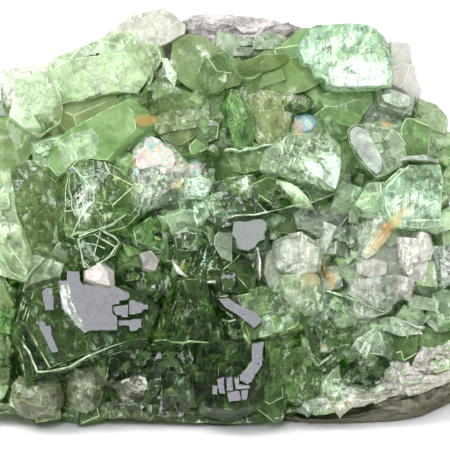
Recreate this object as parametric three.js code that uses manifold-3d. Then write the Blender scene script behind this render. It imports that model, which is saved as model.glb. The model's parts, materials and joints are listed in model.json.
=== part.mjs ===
// A cabinet specimen of green fluorite: see-through cubes, intergrown and cleaved, on a granular rock.
// Millimetres, +Z up. It stands on its flat underside. Its crystal face looks along -Y and leans back.

import * as THREE from "three";
import { ConvexGeometry } from "three/addons/geometries/ConvexGeometry.js";
import { ImprovedNoise } from "three/addons/math/ImprovedNoise.js";
import { mergeVertices } from "three/addons/utils/BufferGeometryUtils.js";
import Module from "manifold-3d";

// Driving dimensions
const faceLean = 20; // degrees that the crystal face leans back from upright
const faceFoot = -40; // Y of the foot of the crystal face
const seamGap = 0.3; // between the crystals and the crust
const crystalDepth = 26; // from the crystal face back to the crust
const rockHalfWidth = 71;
const rockHalfDepth = 39;
const rockMiddle = 50; // height of the rock's widest level
const rockHalfHeight = 66;
const rockRoughness = 0.065; // height of the rock's lumps, as a share of its radius
const stepHeight = 0.9; // thickness of one cleavage leaf
const farAway = 400; // larger than the whole specimen

const wasm = await Module();
wasm.setup();

const noise = new ImprovedNoise();
const degrees = Math.PI / 180;

// Seeded random numbers, so that the specimen is the same every time.
function randomSource(seed) {
  let state = seed;
  return (low, high) => {
    state = (state * 16807) % 2147483647;
    return low + ((high - low) * state) / 2147483647;
  };
}

// The crystal face's own frame: x across, y up the leaning face, z out towards the viewer.
const faceFrame = new THREE.Matrix4()
  .makeTranslation(0, faceFoot, 0)
  .multiply(new THREE.Matrix4().makeRotationX((90 - faceLean) * degrees));

function placeOnFace([across, up], proud, [roll, yaw, pitch]) {
  const turn = new THREE.Matrix4().makeRotationFromEuler(
    new THREE.Euler(pitch * degrees, yaw * degrees, roll * degrees, "ZYX"),
  );
  return faceFrame
    .clone()
    .multiply(new THREE.Matrix4().makeTranslation(across, up, proud))
    .multiply(turn);
}

// Between three.js geometries and solids
function solidFrom(geometry, matrix) {
  const bare = geometry.clone();
  bare.deleteAttribute("normal");
  bare.deleteAttribute("uv");
  if (matrix) bare.applyMatrix4(matrix);
  const merged = mergeVertices(bare, 1e-4);
  return new wasm.Manifold(
    new wasm.Mesh({
      numProp: 3,
      vertProperties: new Float32Array(merged.attributes.position.array),
      triVerts: new Uint32Array(merged.index.array),
    }),
  );
}

function geometryFrom(solid) {
  const { vertProperties, triVerts, numProp } = solid.getMesh();
  const positions = new Float32Array((vertProperties.length / numProp) * 3);
  for (let i = 0; i * numProp < vertProperties.length; i++) {
    positions.set(vertProperties.subarray(i * numProp, i * numProp + 3), i * 3);
  }
  const geometry = new THREE.BufferGeometry();
  geometry.setAttribute("position", new THREE.BufferAttribute(positions, 3));
  geometry.setIndex(new THREE.BufferAttribute(triVerts, 1));
  return geometry;
}

// The outer skin alone: pockets closed up inside and chips cut loose are dropped.
function largestPiece(solid) {
  return solid.decompose().reduce((a, b) => (a.volume() > b.volume() ? a : b));
}

// One cube or block. Its front face is centred on its place, and it reaches back by its depth.
function block([wide, high, deep], matrix) {
  const box = new THREE.BoxGeometry(wide, high, deep);
  box.translate(0, 0, -deep / 2);
  return solidFrom(box, matrix);
}

// Fluorite splits across a cube's corner: the plane cuts the same length off each of the three edges.
function cleaveCorner(solid, size, matrix, [sx, sy, sz], cut) {
  const normal = new THREE.Vector3(sx, sy, sz).normalize();
  const corner = new THREE.Vector3(
    (sx * size[0]) / 2,
    (sy * size[1]) / 2,
    ((sz - 1) * size[2]) / 2,
  );
  const plane = corner.addScaledVector(normal, -cut / Math.sqrt(3));
  const knife = new THREE.BoxGeometry(farAway, farAway, farAway);
  knife.translate(0, 0, farAway / 2);
  knife.applyQuaternion(
    new THREE.Quaternion().setFromUnitVectors(
      new THREE.Vector3(0, 0, 1),
      normal,
    ),
  );
  knife.translate(plane.x, plane.y, plane.z);
  return solid.subtract(solidFrom(knife, matrix));
}

// Cleavage leaves broken back one behind the other, so that a side of the front face goes down in stairs.
function stairs(solid, size, matrix, side, count) {
  const [wide, high] = size;
  let cutSolid = solid;
  for (let i = 1; i <= count; i++) {
    const reach = (wide * 0.42 * (count + 1 - i)) / (count + 0.6);
    const knife = new THREE.BoxGeometry(reach * 2, high * 1.2, stepHeight * 2);
    knife.translate((side * wide) / 2, high * 0.07 * (i % 3), -stepHeight * (i - 1));
    cutSolid = cutSolid.subtract(solidFrom(knife, matrix));
  }
  return cutSolid;
}

// A flat leaf with a ragged, square-cornered outline, given as points across and up.
function leaf(outline, matrix) {
  const shape = new THREE.Shape(outline.map(([x, y]) => new THREE.Vector2(x, y)));
  const plate = new THREE.ExtrudeGeometry(shape, {
    depth: stepHeight * 4,
    bevelEnabled: false,
  });
  plate.translate(0, 0, -stepHeight * 4);
  return solidFrom(plate, matrix);
}

// A frosted, rounded lump of massive fluorite
function lump([wide, high, deep], matrix, seed) {
  const ball = new THREE.IcosahedronGeometry(1, 2);
  const at = ball.attributes.position;
  const point = new THREE.Vector3();
  for (let i = 0; i < at.count; i++) {
    point.fromBufferAttribute(at, i);
    const swell = 1 + 0.16 * noise.noise(point.x * 2, point.y * 2, point.z * 2 + seed);
    at.setXYZ(
      i,
      (point.x * swell * wide) / 2,
      (point.y * swell * high) / 2,
      (point.z * swell * deep) / 2,
    );
  }
  return solidFrom(ball, matrix);
}

// The larger crystals, row by row from the top. at: across and up the face; proud: how far the front face
// stands out; turn: roll, yaw and pitch in degrees. corners: cleaved corners as [x, y, z, cut].
const crystals = [
  // Upper edge
  { name: "left white block", at: [-68, 98], proud: -6, size: [9, 12, 14], turn: [10, -20, -12] },
  { name: "pale corner", at: [-57, 93], proud: 2, size: [16, 14, 18], turn: [-35, -12, -14],
    corners: [[1, 1, 1, 5]] },
  { name: "speckled shoulder", at: [-57, 102.5], proud: -4, size: [19, 11, 16], turn: [9, -8, -26] },
  { name: "pale slab", at: [-45, 106], proud: -2, size: [19, 11, 16], turn: [27, -10, -18],
    corners: [[-1, 1, 1, 4]] },
  { name: "mint block", at: [-31, 108.5], proud: 4, size: [16, 15, 18], turn: [19, 6, -8],
    corners: [[1, -1, 1, 4.5]] },
  { name: "peak block", at: [-19.5, 117], proud: -5, size: [20, 13, 14], turn: [-10, 10, -18],
    corners: [[-1, 1, 1, 5]] },
  { name: "olive block", at: [-8, 107], proud: 6, size: [15.5, 16.5, 18], turn: [-32, -8, -12],
    corners: [[1, 1, 1, 4]] },
  { name: "dark ridge", at: [13, 110], proud: 0, size: [25, 8, 16], turn: [22, 8, -20] },
  { name: "olive slab", at: [13.5, 102], proud: 5, size: [26, 12, 18], turn: [17, -6, -6],
    corners: [[-1, -1, 1, 6]] },
  { name: "bright prism", at: [7.5, 90], proud: 7, size: [8, 19, 16], turn: [13, 16, -4] },
  { name: "great mint crystal", at: [37, 108.5], proud: 9, size: [28, 20, 22], turn: [2, 6, -8],
    corners: [[1, 1, 1, 7], [-1, -1, 1, 5], [-1, 1, 1, 4]] },
  { name: "colourless upper", at: [52.5, 109.5], proud: -1, size: [8, 10, 12], turn: [-6, 14, -10] },
  { name: "colourless lower", at: [54, 101], proud: 2, size: [10, 12, 13], turn: [-14, 20, -6],
    corners: [[1, 1, 1, 4]] },
  { name: "small pale", at: [51.5, 96], proud: 6, size: [9, 6, 10], turn: [-18, 4, -26] },
  // Upper middle
  { name: "left olive", at: [-64, 83], proud: 1, size: [20, 17, 18], turn: [-8, -16, -8] },
  { name: "brown olive slab", at: [-41, 95.5], proud: 5, size: [18, 8, 16], turn: [21, 4, -16] },
  { name: "bright slab", at: [-41, 86.5], proud: 9, size: [27, 13, 20], turn: [26, -8, -10],
    corners: [[1, 1, 1, 5]] },
  { name: "mint foot", at: [-50, 79], proud: 8, size: [12, 11, 14], turn: [20, -16, 6],
    corners: [[-1, -1, 1, 4]] },
  { name: "dark fragment", at: [-21.5, 98], proud: 4, size: [11, 13, 14], turn: [-16, 18, -8],
    corners: [[1, -1, 1, 4]] },
  { name: "olive fragment", at: [-13, 92], proud: 5, size: [16, 9, 14], turn: [12, -10, -20] },
  { name: "grey facet upper", at: [-5.5, 88], proud: 9, size: [8, 7, 10], turn: [-8, -3, -12] },
  { name: "grey facet lower", at: [-6, 81.5], proud: 8, size: [7.5, 6, 10], turn: [2, -3, -12] },
  { name: "green bar", at: [0.5, 83], proud: 5, size: [8, 10, 12], turn: [0, 12, -6] },
  { name: "tall green", at: [15.5, 90], proud: 5, size: [8.5, 18, 14], turn: [11, -14, -6] },
  { name: "green block", at: [28, 97], proud: 4, size: [18, 12, 16], turn: [-13, 12, -14],
    corners: [[-1, 1, 1, 4]] },
  { name: "leaf green", at: [42, 95], proud: 4, size: [16, 11, 16], turn: [11, -8, -12] },
  { name: "grey green block", at: [52.5, 91], proud: 4, size: [18, 12, 16], turn: [-16, 8, -10] },
  { name: "dark square", at: [58.3, 85], proud: 9, size: [9, 13, 14], turn: [0, 4, -4] },
  { name: "right pale", at: [66, 80], proud: 1, size: [12, 19, 18], turn: [3, 22, -8] },
  { name: "rainbow fragment", at: [24, 88], proud: 7, size: [9.5, 8.5, 12], turn: [-16, -12, -10],
    corners: [[1, 1, 1, 3]] },
  { name: "clear crystal", at: [27.5, 78], proud: 10, size: [18, 22, 20], turn: [-18, 8, -6],
    corners: [[1, -1, 1, 10], [-1, 1, 1, 6]] },
  { name: "clear blade", at: [43.5, 81], proud: 11, size: [12, 17, 16], turn: [28, -14, -6],
    corners: [[-1, 1, 1, 5]] },
  { name: "right cube", at: [58, 68], proud: 13, size: [16, 19, 20], turn: [0, 7, -7] },
  { name: "teal block", at: [46.5, 70], proud: 6, size: [12, 13, 15], turn: [36, 6, -12] },
  // Middle
  { name: "left pale", at: [-66, 63], proud: 8, size: [13, 25, 18], turn: [5, -18, -4],
    corners: [[1, -1, 1, 5]] },
  { name: "left olive column", at: [-55, 60], proud: 6, size: [15, 33, 18], turn: [4, 10, -6] },
  { name: "veiled crystal", at: [-36, 67], proud: 12, size: [21, 22, 20], turn: [8, 6, -6],
    corners: [[1, 1, 1, 8], [1, -1, 1, 8]] },
  { name: "diamond", at: [-37.5, 51.5], proud: 10, size: [11.5, 11.5, 14], turn: [36, 8, 4] },
  { name: "fan crystal", at: [-19, 76], proud: 9, size: [16, 19, 16], turn: [-24, 10, -14],
    corners: [[-1, 1, 1, 6]], steps: [1, 3] },
  { name: "small green", at: [-22.5, 57], proud: 9, size: [9, 11, 12], turn: [8, 16, 2] },
  { name: "little clear", at: [-12, 54], proud: 11, size: [7, 8, 10], turn: [2, -6, 4],
    corners: [[-1, 1, 1, 2.5]] },
  { name: "splintered", at: [-10, 68], proud: 7, size: [12, 15, 14], turn: [4, -16, -8],
    steps: [1, 3] },
  { name: "flat block", at: [2, 67.5], proud: 10, size: [18.5, 12, 16], turn: [9, 4, -10],
    corners: [[1, -1, 1, 4]] },
  { name: "lilac facet", at: [7.5, 56], proud: 12, size: [11, 10, 12], turn: [-6, -3, -12],
    corners: [[-1, -1, 1, 2.5], [1, 1, 1, 1.5]] },
  { name: "great diagonal", at: [-5.5, 51], proud: 9, size: [18, 19, 18], turn: [-24, 10, -6],
    corners: [[-1, -1, 1, 5]] },
  { name: "shadow block", at: [16.5, 65], proud: 6, size: [13, 12, 14], turn: [16, 12, -8] },
  { name: "cloudy block", at: [22, 47.5], proud: 10, size: [20, 16, 18], turn: [-9, -6, -6],
    corners: [[1, 1, 1, 4], [-1, -1, 1, 4]] },
  { name: "violet grey", at: [29, 60.5], proud: 8, size: [15, 14, 15], turn: [14, 14, -12],
    corners: [[-1, 1, 1, 4]] },
  { name: "ochre band", at: [47, 58], proud: 11, size: [5, 16, 12], turn: [-41, 12, -6] },
  { name: "frosted block", at: [54.5, 50], proud: 10, size: [20, 20, 18], turn: [-12, 10, -8],
    corners: [[-1, -1, 1, 6], [1, 1, 1, 4]], steps: [1, 3] },
  { name: "pink white block", at: [61, 53.5], proud: 14, size: [6, 11, 12], turn: [-7, 18, -4] },
  { name: "right edge", at: [68, 47], proud: 6, size: [12, 18, 18], turn: [8, 24, -4] },
  { name: "ochre hollow", at: [41.5, 48.5], proud: 7, size: [15, 15, 16], turn: [21, -12, -6] },
  // Lower
  { name: "great dark cube", at: [-41, 31.5], proud: 13, size: [33, 31, 28], turn: [12, 4, -8],
    corners: [[1, 1, 1, 9]], steps: [-1, 3] },
  { name: "pink facet", at: [-37, 45.2], proud: 15.5, size: [10, 7, 12], turn: [-12, -5, -14] },
  { name: "left green", at: [-65, 33], proud: 7, size: [16, 15, 16], turn: [-11, -16, -4] },
  { name: "left low", at: [-64, 19], proud: 4, size: [17, 15, 18], turn: [14, -20, 8],
    corners: [[1, 1, 1, 4]] },
  { name: "middle cube", at: [-11.4, 36.5], proud: 14, size: [21, 25, 22], turn: [0, 5, -8],
    corners: [[1, 1, 1, 4]] },
  { name: "lilac strip", at: [4.5, 33.5], proud: 12.5, size: [17, 6, 14], turn: [-29, -3, -12] },
  { name: "glass prism", at: [3, 27.5], proud: 12, size: [12, 9, 14], turn: [-33, 14, 4] },
  { name: "stepped cube", at: [2.5, 14.5], proud: 14, size: [20, 22, 22], turn: [-1, 4, -8],
    steps: [-1, 4] },
  { name: "dark pillar", at: [16.5, 17.5], proud: 10, size: [9, 24, 18], turn: [0, 8, -2] },
  { name: "green chunk", at: [14, 34], proud: 11, size: [19, 13, 16], turn: [15, 8, -16],
    corners: [[1, -1, 1, 5]] },
  { name: "ringed crystal", at: [29, 26], proud: 10, size: [16, 19, 16], turn: [6, 6, -4],
    corners: [[-1, -1, 1, 5], [1, 1, 1, 4]] },
  { name: "pale blade", at: [41.5, 20.5], proud: 12, size: [9, 17, 14], turn: [-20, -14, -4],
    corners: [[1, 1, 1, 3.5], [-1, 1, 1, 3]] },
  { name: "smooth green", at: [57, 25], proud: 5, size: [23, 15, 18], turn: [-5, 12, -6],
    corners: [[-1, -1, 1, 4]] },
  { name: "cream foot", at: [31, 13], proud: 8, size: [19, 7, 16], turn: [7, 6, -26] },
  { name: "dark hollow", at: [-22.5, 19], proud: 6, size: [27, 13, 16], turn: [13, 8, 4],
    corners: [[1, 1, 1, 4]] },
  { name: "white chips", at: [-27, 11], proud: 11, size: [10, 7, 12], turn: [18, 12, -8],
    corners: [[1, -1, 1, 3]] },
  { name: "low green", at: [-12, 14], proud: 9, size: [14, 17, 15], turn: [6, -14, 4],
    corners: [[1, 1, 1, 4]] },
];

const lumps = [
  { at: [-56, 7.5], proud: 4, size: [15, 13, 12] },
  { at: [-46, 9.5], proud: 5, size: [8, 12, 10] },
  { at: [-39, 7.5], proud: 4.5, size: [11, 8, 9] },
];

// Ragged mirror-bright leaves on three of the crystals, all lying the same way.
const leafTurn = [0, -3, -12];
const leaves = [
  { at: [-36, 34], proud: 14.2, roll: 3,
    outline: [[-11, 8], [-11, 4], [-10, 1], [-8, -4], [-5, -8], [-2, -8], [-2, -7], [7, -8], [7, -6],
      [9, -6], [9, -4], [8, -4], [8, -1], [10, -1], [10, 2], [6, 2], [6, 5], [3, 7], [-6, 8],
      [-6, 11], [-9, 11], [-9, 8]] },
  { at: [-27, 34.5], proud: 13.2, roll: 3,
    outline: [[-5, -3], [-5, 1], [-2, 1], [-2, 2], [4, 2], [4, -1], [2, -1], [2, -2], [-1, -2],
      [-1, -3]] },
  { at: [-27, 30], proud: 13.8, roll: 3,
    outline: [[-5, -3], [-5, 2], [4, 2], [4, -1], [2, -1], [2, -2], [0, -2], [0, -3]] },
  { at: [-53.5, 38], proud: 13.4, roll: 6, outline: [[-1.6, -4], [-1.6, 4], [1.6, 4], [1.6, -4]] },
  { at: [-52, 28], proud: 14.9, roll: 22,
    outline: [[-1.8, -5], [-1.8, 5], [0.6, 5], [0.6, 3], [1.8, 3], [1.8, -5]] },
  { at: [7, 19], proud: 14.2, roll: -4,
    outline: [[0, -6], [0, -1], [2, 2], [2, 6], [6, 8], [6, 1], [5, -4], [3, -6]] },
  { at: [2, 10], proud: 15.5, roll: 2,
    outline: [[-5, -4], [-5, -1], [-7, -1], [-7, 2], [-3, 2], [-3, 4], [2, 4], [6, 3], [6, -1],
      [4, -1], [4, -4]] },
];

// Small crystals, broken corners and splinters fill the hollows and carry the growth round to the sides.
function smallCrystals(random) {
  const found = [];
  for (let row = 0; row < 9; row++) {
    for (let column = 0; column < 11; column++) {
      const across = -65 + column * 13 + random(-5, 5);
      const up = 4 + row * 12.6 + random(-5, 5);
      const size = [random(4.5, 9), random(4, 9), random(8, 13)];
      const turn = [random(-40, 40), random(-26, 26), random(-30, 14)];
      const corners = [
        [Math.sign(random(-1, 1)), Math.sign(random(-1, 1)), 1, random(2, 4.5)],
      ];
      found.push({ at: [across, up], proud: random(3, 9), size, turn, corners });
    }
  }
  return found.filter(({ at }) => insideFace(at));
}

// The face's upper outline, above which nothing small grows: pairs of across and the height there.
const crest = [
  [-75, 84], [-66, 94], [-52, 104], [-36, 110], [-20, 113], [-12, 104], [20, 104], [26, 112],
  [46, 112], [56, 100], [62, 90], [75, 78],
];

function heightAt(outline, across) {
  for (let i = 1; i < outline.length; i++) {
    const [x0, y0] = outline[i - 1];
    const [x1, y1] = outline[i];
    if (across <= x1) return y0 + ((y1 - y0) * (across - x0)) / (x1 - x0);
  }
  return outline.at(-1)[1];
}

function insideFace([across, up]) {
  const onRightCrust = across > 40 && up < 17;
  return Math.abs(across) < 70 && up < heightAt(crest, across) - 3 && !onRightCrust;
}

// Crystals on the flanks and behind the crest, where the growth wraps round the rock.
function flankCrystals(random) {
  const found = [];
  for (let row = 0; row < 7; row++) {
    for (const side of [-1, 1]) {
      for (const back of [-6, -17]) {
        const up = 10 + row * 11 + random(-3, 3);
        if (side > 0 && up < 22) continue;
        const size = [random(9, 15), random(9, 14), random(12, 16)];
        const across = side * (66 - row * 0.5 + back * 0.15 + random(-1, 2));
        const turn = [random(-20, 20), side * random(25, 60), random(-20, 14)];
        found.push({ at: [across, up], proud: back + random(0, 4), size, turn });
      }
    }
  }
  for (let i = 0; i < 12; i++) {
    const across = -60 + i * 11;
    const overCrust = across > -16 && across < 24;
    const up = heightAt(crest, across) - (overCrust ? 12 : 3);
    const size = [random(9, 14), random(9, 13), random(12, 16)];
    const turn = [random(-35, 35), random(-25, 25), random(-50, -20)];
    found.push({ at: [across, up], proud: random(-14, -8), size, turn });
  }
  return found;
}

// The massive fluorite that all the crystals grow from, as flat broken faces. Points are across, up and out.
function heartOfMass() {
  const ring = [
    [-60, 12, -2], [-62, 60, -2], [-52, 84, -3], [-30, 98, -2], [-8, 101, -2], [20, 100, -2],
    [42, 96, -2], [56, 76, -2], [62, 50, -2], [58, 24, -2], [40, 8, 0], [12, 5, 3], [-25, 6, 2],
    [-70, 4, -16], [-71, 50, -16], [-64, 82, -14], [-40, 101, -14], [-15, 107, -12], [20, 105, -12],
    [45, 103, -14], [60, 86, -16], [70, 60, -16], [70, 28, -16], [60, 10, -12], [30, 0, -2],
    [-10, -2, 0], [-48, 0, -4], [-66, 4, -40], [-68, 50, -40], [-58, 80, -38], [-35, 97, -36],
    [20, 103, -36], [56, 82, -38], [66, 58, -40], [64, 20, -40], [-50, -14, -20], [40, -14, -20],
    [-50, -30, -50], [50, -30, -50],
  ];
  const points = ring.map((p) => new THREE.Vector3(...p).applyMatrix4(faceFrame));
  return solidFrom(new ConvexGeometry(points));
}

function crystalSolid(crystal) {
  const { at, proud, size, turn, corners = [], steps } = crystal;
  const matrix = placeOnFace(at, proud, turn);
  let solid = block(size, matrix);
  for (const [sx, sy, sz, cut] of corners) {
    solid = cleaveCorner(solid, size, matrix, [sx, sy, sz], cut);
  }
  return steps ? stairs(solid, size, matrix, ...steps) : solid;
}

// How far out of the face the crust comes: forward along the crest's middle and at the right foot.
function crustReach(across, up) {
  const { smoothstep } = THREE.MathUtils;
  const crestBump = Math.exp(-(((across - 5) / 21) ** 4)) * smoothstep(up, 90, 106);
  const footTop = 4 + 0.2 * (across - 10);
  const footBump = smoothstep(across, 0, 12) * smoothstep(footTop - up, -5, 4);
  const leftBump = Math.exp(-(((across + 60) / 10) ** 2) - ((up - 104) / 8) ** 2);
  const ripple = 1.6 * Math.sin(across / 9 + 1.7 * Math.sin(up / 13)) * Math.cos(up / 8 + across / 21);
  return -crystalDepth + 25 * crestBump + 32 * footBump + 14 * leftBump + ripple;
}

// Everything behind the crust's front, moved along the face's normal by shift
function behindCrust(shift) {
  const [wide, high, deep] = [200, 190, 160];
  const grid = new THREE.BoxGeometry(wide, high, deep, 20, 19, 1);
  const at = grid.attributes.position;
  for (let i = 0; i < at.count; i++) {
    const across = at.getX(i);
    const up = at.getY(i) + 55;
    const front = at.getZ(i) > 0 ? crustReach(across, up) + shift : -deep;
    at.setXYZ(i, across, up, front);
  }
  return solidFrom(grid, faceFrame);
}

// The rock is a squarish boulder, lower towards both ends, with a low foot that comes forward on the right.
const rockCrest = [
  [-75, 62], [-52, 84], [-34, 97], [-16, 110], [-4, 113], [22, 112], [38, 103], [52, 90], [64, 76], [75, 60],
];

// A lumpy, broken boulder of the given half sizes: squareness 2 is round, and more is boxier.
function boulder([halfWide, halfDeep, halfHigh], squareness, detail, seed) {
  const ball = new THREE.IcosahedronGeometry(1, detail);
  const at = ball.attributes.position;
  for (let i = 0; i < at.count; i++) {
    const [dx, dy, dz] = [at.getX(i), at.getY(i), at.getZ(i)];
    const sum = [dx, dy, dz].reduce((total, d) => total + Math.abs(d) ** squareness, 0);
    const coarse = noise.noise(dx * 3.1 + seed, dy * 3.1, dz * 3.1);
    const fine = noise.noise(dx * 7 + seed, dy * 7, dz * 7);
    const radius = (1 + rockRoughness * (coarse + 0.7 * fine)) / sum ** (1 / squareness);
    at.setXYZ(i, dx * radius * halfWide, dy * radius * halfDeep, dz * radius * halfHigh);
  }
  return ball;
}

function rockBody() {
  const body = boulder([rockHalfWidth, rockHalfDepth, rockHalfHeight], 3, 7, 0);
  const at = body.attributes.position;
  for (let i = 0; i < at.count; i++) {
    const upwards = Math.max(at.getZ(i), 0) / rockHalfHeight;
    const downwards = Math.min(at.getZ(i), 0);
    const rise = upwards * (heightAt(rockCrest, at.getX(i)) - rockMiddle);
    at.setZ(i, rockMiddle + downwards + rise);
  }
  const foot = boulder([43, 33, 12.5], 2.2, 4, 9);
  foot.translate(33, -10.5, 4.5);
  return solidFrom(body).add(solidFrom(foot));
}

function belowGround() {
  const ground = new THREE.BoxGeometry(farAway, farAway, farAway);
  ground.translate(0, 0, -farAway / 2);
  return solidFrom(ground);
}

// The two pieces
function crystalMass() {
  const random = randomSource(2417);
  let mass = heartOfMass();
  for (const crystal of [...crystals, ...smallCrystals(random), ...flankCrystals(random)]) {
    mass = mass.add(crystalSolid(crystal));
  }
  lumps.forEach(({ at, proud, size }, i) => {
    mass = mass.add(lump(size, placeOnFace(at, proud, [0, 0, 0]), i * 5));
  });
  for (const { at, proud, roll, outline } of leaves) {
    mass = mass.add(leaf(outline, placeOnFace(at, proud, [roll, leafTurn[1], leafTurn[2]])));
  }
  return largestPiece(mass.subtract(behindCrust(seamGap / 2)).subtract(belowGround()));
}

function matrixCrust() {
  return largestPiece(rockBody().intersect(behindCrust(-seamGap / 2)).subtract(belowGround()));
}

const materials = {
  fluorite: new THREE.MeshStandardMaterial({ color: 0x7fae78, roughness: 0.12, flatShading: true }),
  rock: new THREE.MeshStandardMaterial({ color: 0xb9b1a4, roughness: 0.9, flatShading: true }),
};

function named(name, solid, material) {
  const mesh = new THREE.Mesh(geometryFrom(solid), material);
  mesh.name = name;
  return mesh;
}

const specimen = new THREE.Group();
specimen.add(named("crystal_mass", crystalMass(), materials.fluorite));
specimen.add(named("matrix_crust", matrixCrust(), materials.rock));

// The origin is on the ground under the middle of the specimen.
const bounds = new THREE.Box3().setFromObject(specimen);
const middle = bounds.getCenter(new THREE.Vector3());
specimen.position.set(-middle.x, -middle.y, -bounds.min.z);

export default specimen;
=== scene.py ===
import json
import math
import random

import bmesh
import bpy
from mathutils import Matrix, Vector, noise

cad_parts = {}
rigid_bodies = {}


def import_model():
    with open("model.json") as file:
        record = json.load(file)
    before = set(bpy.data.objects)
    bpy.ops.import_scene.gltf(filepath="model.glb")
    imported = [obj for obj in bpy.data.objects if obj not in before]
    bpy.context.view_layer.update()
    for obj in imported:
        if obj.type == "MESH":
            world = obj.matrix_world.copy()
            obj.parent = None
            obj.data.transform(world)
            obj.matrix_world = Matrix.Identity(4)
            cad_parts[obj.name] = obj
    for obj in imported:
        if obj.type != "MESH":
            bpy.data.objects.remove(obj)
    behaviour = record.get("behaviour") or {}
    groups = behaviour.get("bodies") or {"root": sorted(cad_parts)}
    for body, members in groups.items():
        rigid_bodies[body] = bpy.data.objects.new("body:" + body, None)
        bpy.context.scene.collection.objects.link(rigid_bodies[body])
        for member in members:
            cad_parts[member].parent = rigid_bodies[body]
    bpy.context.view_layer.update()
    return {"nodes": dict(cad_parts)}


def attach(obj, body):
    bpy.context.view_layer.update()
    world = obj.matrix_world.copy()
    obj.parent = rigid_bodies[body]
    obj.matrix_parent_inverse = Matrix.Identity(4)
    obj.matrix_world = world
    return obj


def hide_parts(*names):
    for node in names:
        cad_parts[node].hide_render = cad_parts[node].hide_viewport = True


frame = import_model()
mm = 0.001

# the crystal face's own frame: across to the right, up along the leaning face, out towards the viewer
face = {
    "foot": Vector((-1.06, -33.39, 0)) * mm,   # where the crystal face meets the ground
    "lean": math.radians(20),
}
faceFrame = Matrix.Translation(face["foot"]) @ Matrix.Rotation(math.radians(90) - face["lean"], 4, "X")
intoFace = faceFrame.inverted()


def turned(turn):
    roll, yaw, pitch = [math.radians(a) for a in turn]
    return Matrix.Rotation(roll, 4, "Z") @ Matrix.Rotation(yaw, 4, "Y") @ Matrix.Rotation(pitch, 4, "X")


def placeOnFace(at, proud, turn):
    return faceFrame @ Matrix.Translation(Vector((at[0], at[1], proud)) * mm) @ turned(turn)


def smoothStep(x, low, high):
    t = min(max((x - low) / (high - low), 0), 1)
    return t * t * (3 - 2 * t)


def newObject(name, data, collection=bpy.context.scene.collection):
    made = bpy.data.objects.new(name, data)
    collection.objects.link(made)
    return made


# camera, light and floor
picture = {
    "width": 135 * mm,
    "middle": 59.1 * mm,   # height of the picture's middle above the foot
    "distance": 0.75,
    "sensor": 36,
}
studio = {
    "sky": {"low": 0.45, "high": 2.16, "turn": (0.5, 0.95)},   # its strength near the ground and overhead
    "box": {"place": (-0.10, -0.68, 0.72), "size": (0.26, 0.26), "power": 2.2, "colour": (0.94, 0.91, 1.06)},
    "fill": {"place": (-0.7, -0.2, 0.9), "size": (0.5, 0.5), "power": 6, "colour": (1, 1, 1)},
    "lit": (0, 0, 0.055),  # what the two lights point at
    "floor": {"colour": (0.93, 0.93, 0.93, 1), "reach": 4, "roughness": 0.9},
}


def lookFrom(place, target):
    return (Vector(target) - Vector(place)).to_track_quat("-Z", "Y").to_euler()


def addCamera():
    data = bpy.data.cameras.new("camera")
    data.sensor_width = picture["sensor"]
    data.lens = picture["sensor"] * picture["distance"] / picture["width"]
    camera = newObject("camera", data)
    camera.location = faceFrame @ Vector((0, picture["middle"], picture["distance"]))
    camera.rotation_euler = lookFrom(camera.location, faceFrame @ Vector((0, picture["middle"], 0)))
    bpy.context.scene.camera = camera


def addLight(name, place, size, power, colour):
    data = bpy.data.lights.new(name, "AREA")
    data.shape = "RECTANGLE"
    data.size, data.size_y = size
    data.energy = power
    data.color = colour
    light = newObject(name, data)
    light.location = place
    light.rotation_euler = lookFrom(place, studio["lit"])


def addSky(low, high, turn):
    world = bpy.data.worlds.new("studio")
    world.use_nodes = True
    nodes, links = world.node_tree.nodes, world.node_tree.links
    nodes["Background"].inputs["Color"].default_value = (1, 1, 1, 1)
    height = nodes.new("ShaderNodeSeparateXYZ")
    links.new(nodes.new("ShaderNodeTexCoord").outputs["Generated"], height.inputs[0])
    strength = nodes.new("ShaderNodeMapRange")
    strength.interpolation_type = "SMOOTHSTEP"
    links.new(height.outputs["Z"], strength.inputs["Value"])
    for name, value in zip(("From Min", "From Max", "To Min", "To Max"), (*turn, low, high)):
        strength.inputs[name].default_value = value
    links.new(strength.outputs["Result"], nodes["Background"].inputs["Strength"])
    bpy.context.scene.world = world


def addFloor(colour, reach, roughness):
    bm = bmesh.new()
    bmesh.ops.create_grid(bm, x_segments=1, y_segments=1, size=reach)
    data = bpy.data.meshes.new("floor")
    bm.to_mesh(data)
    bm.free()
    material = bpy.data.materials.new("paleFloor")
    material.use_nodes = True
    shader = material.node_tree.nodes["Principled BSDF"]
    shader.inputs["Base Color"].default_value = colour
    shader.inputs["Roughness"].default_value = roughness
    data.materials.append(material)
    floor = newObject("floor", data)


addCamera()
addSky(**studio["sky"])
for lamp in ("box", "fill"):
    addLight(lamp, **studio[lamp])
addFloor(**studio["floor"])
bpy.context.scene.view_settings.view_transform = "Standard"
bpy.context.scene.view_settings.look = "None"
print("camera and studio ready")


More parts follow.
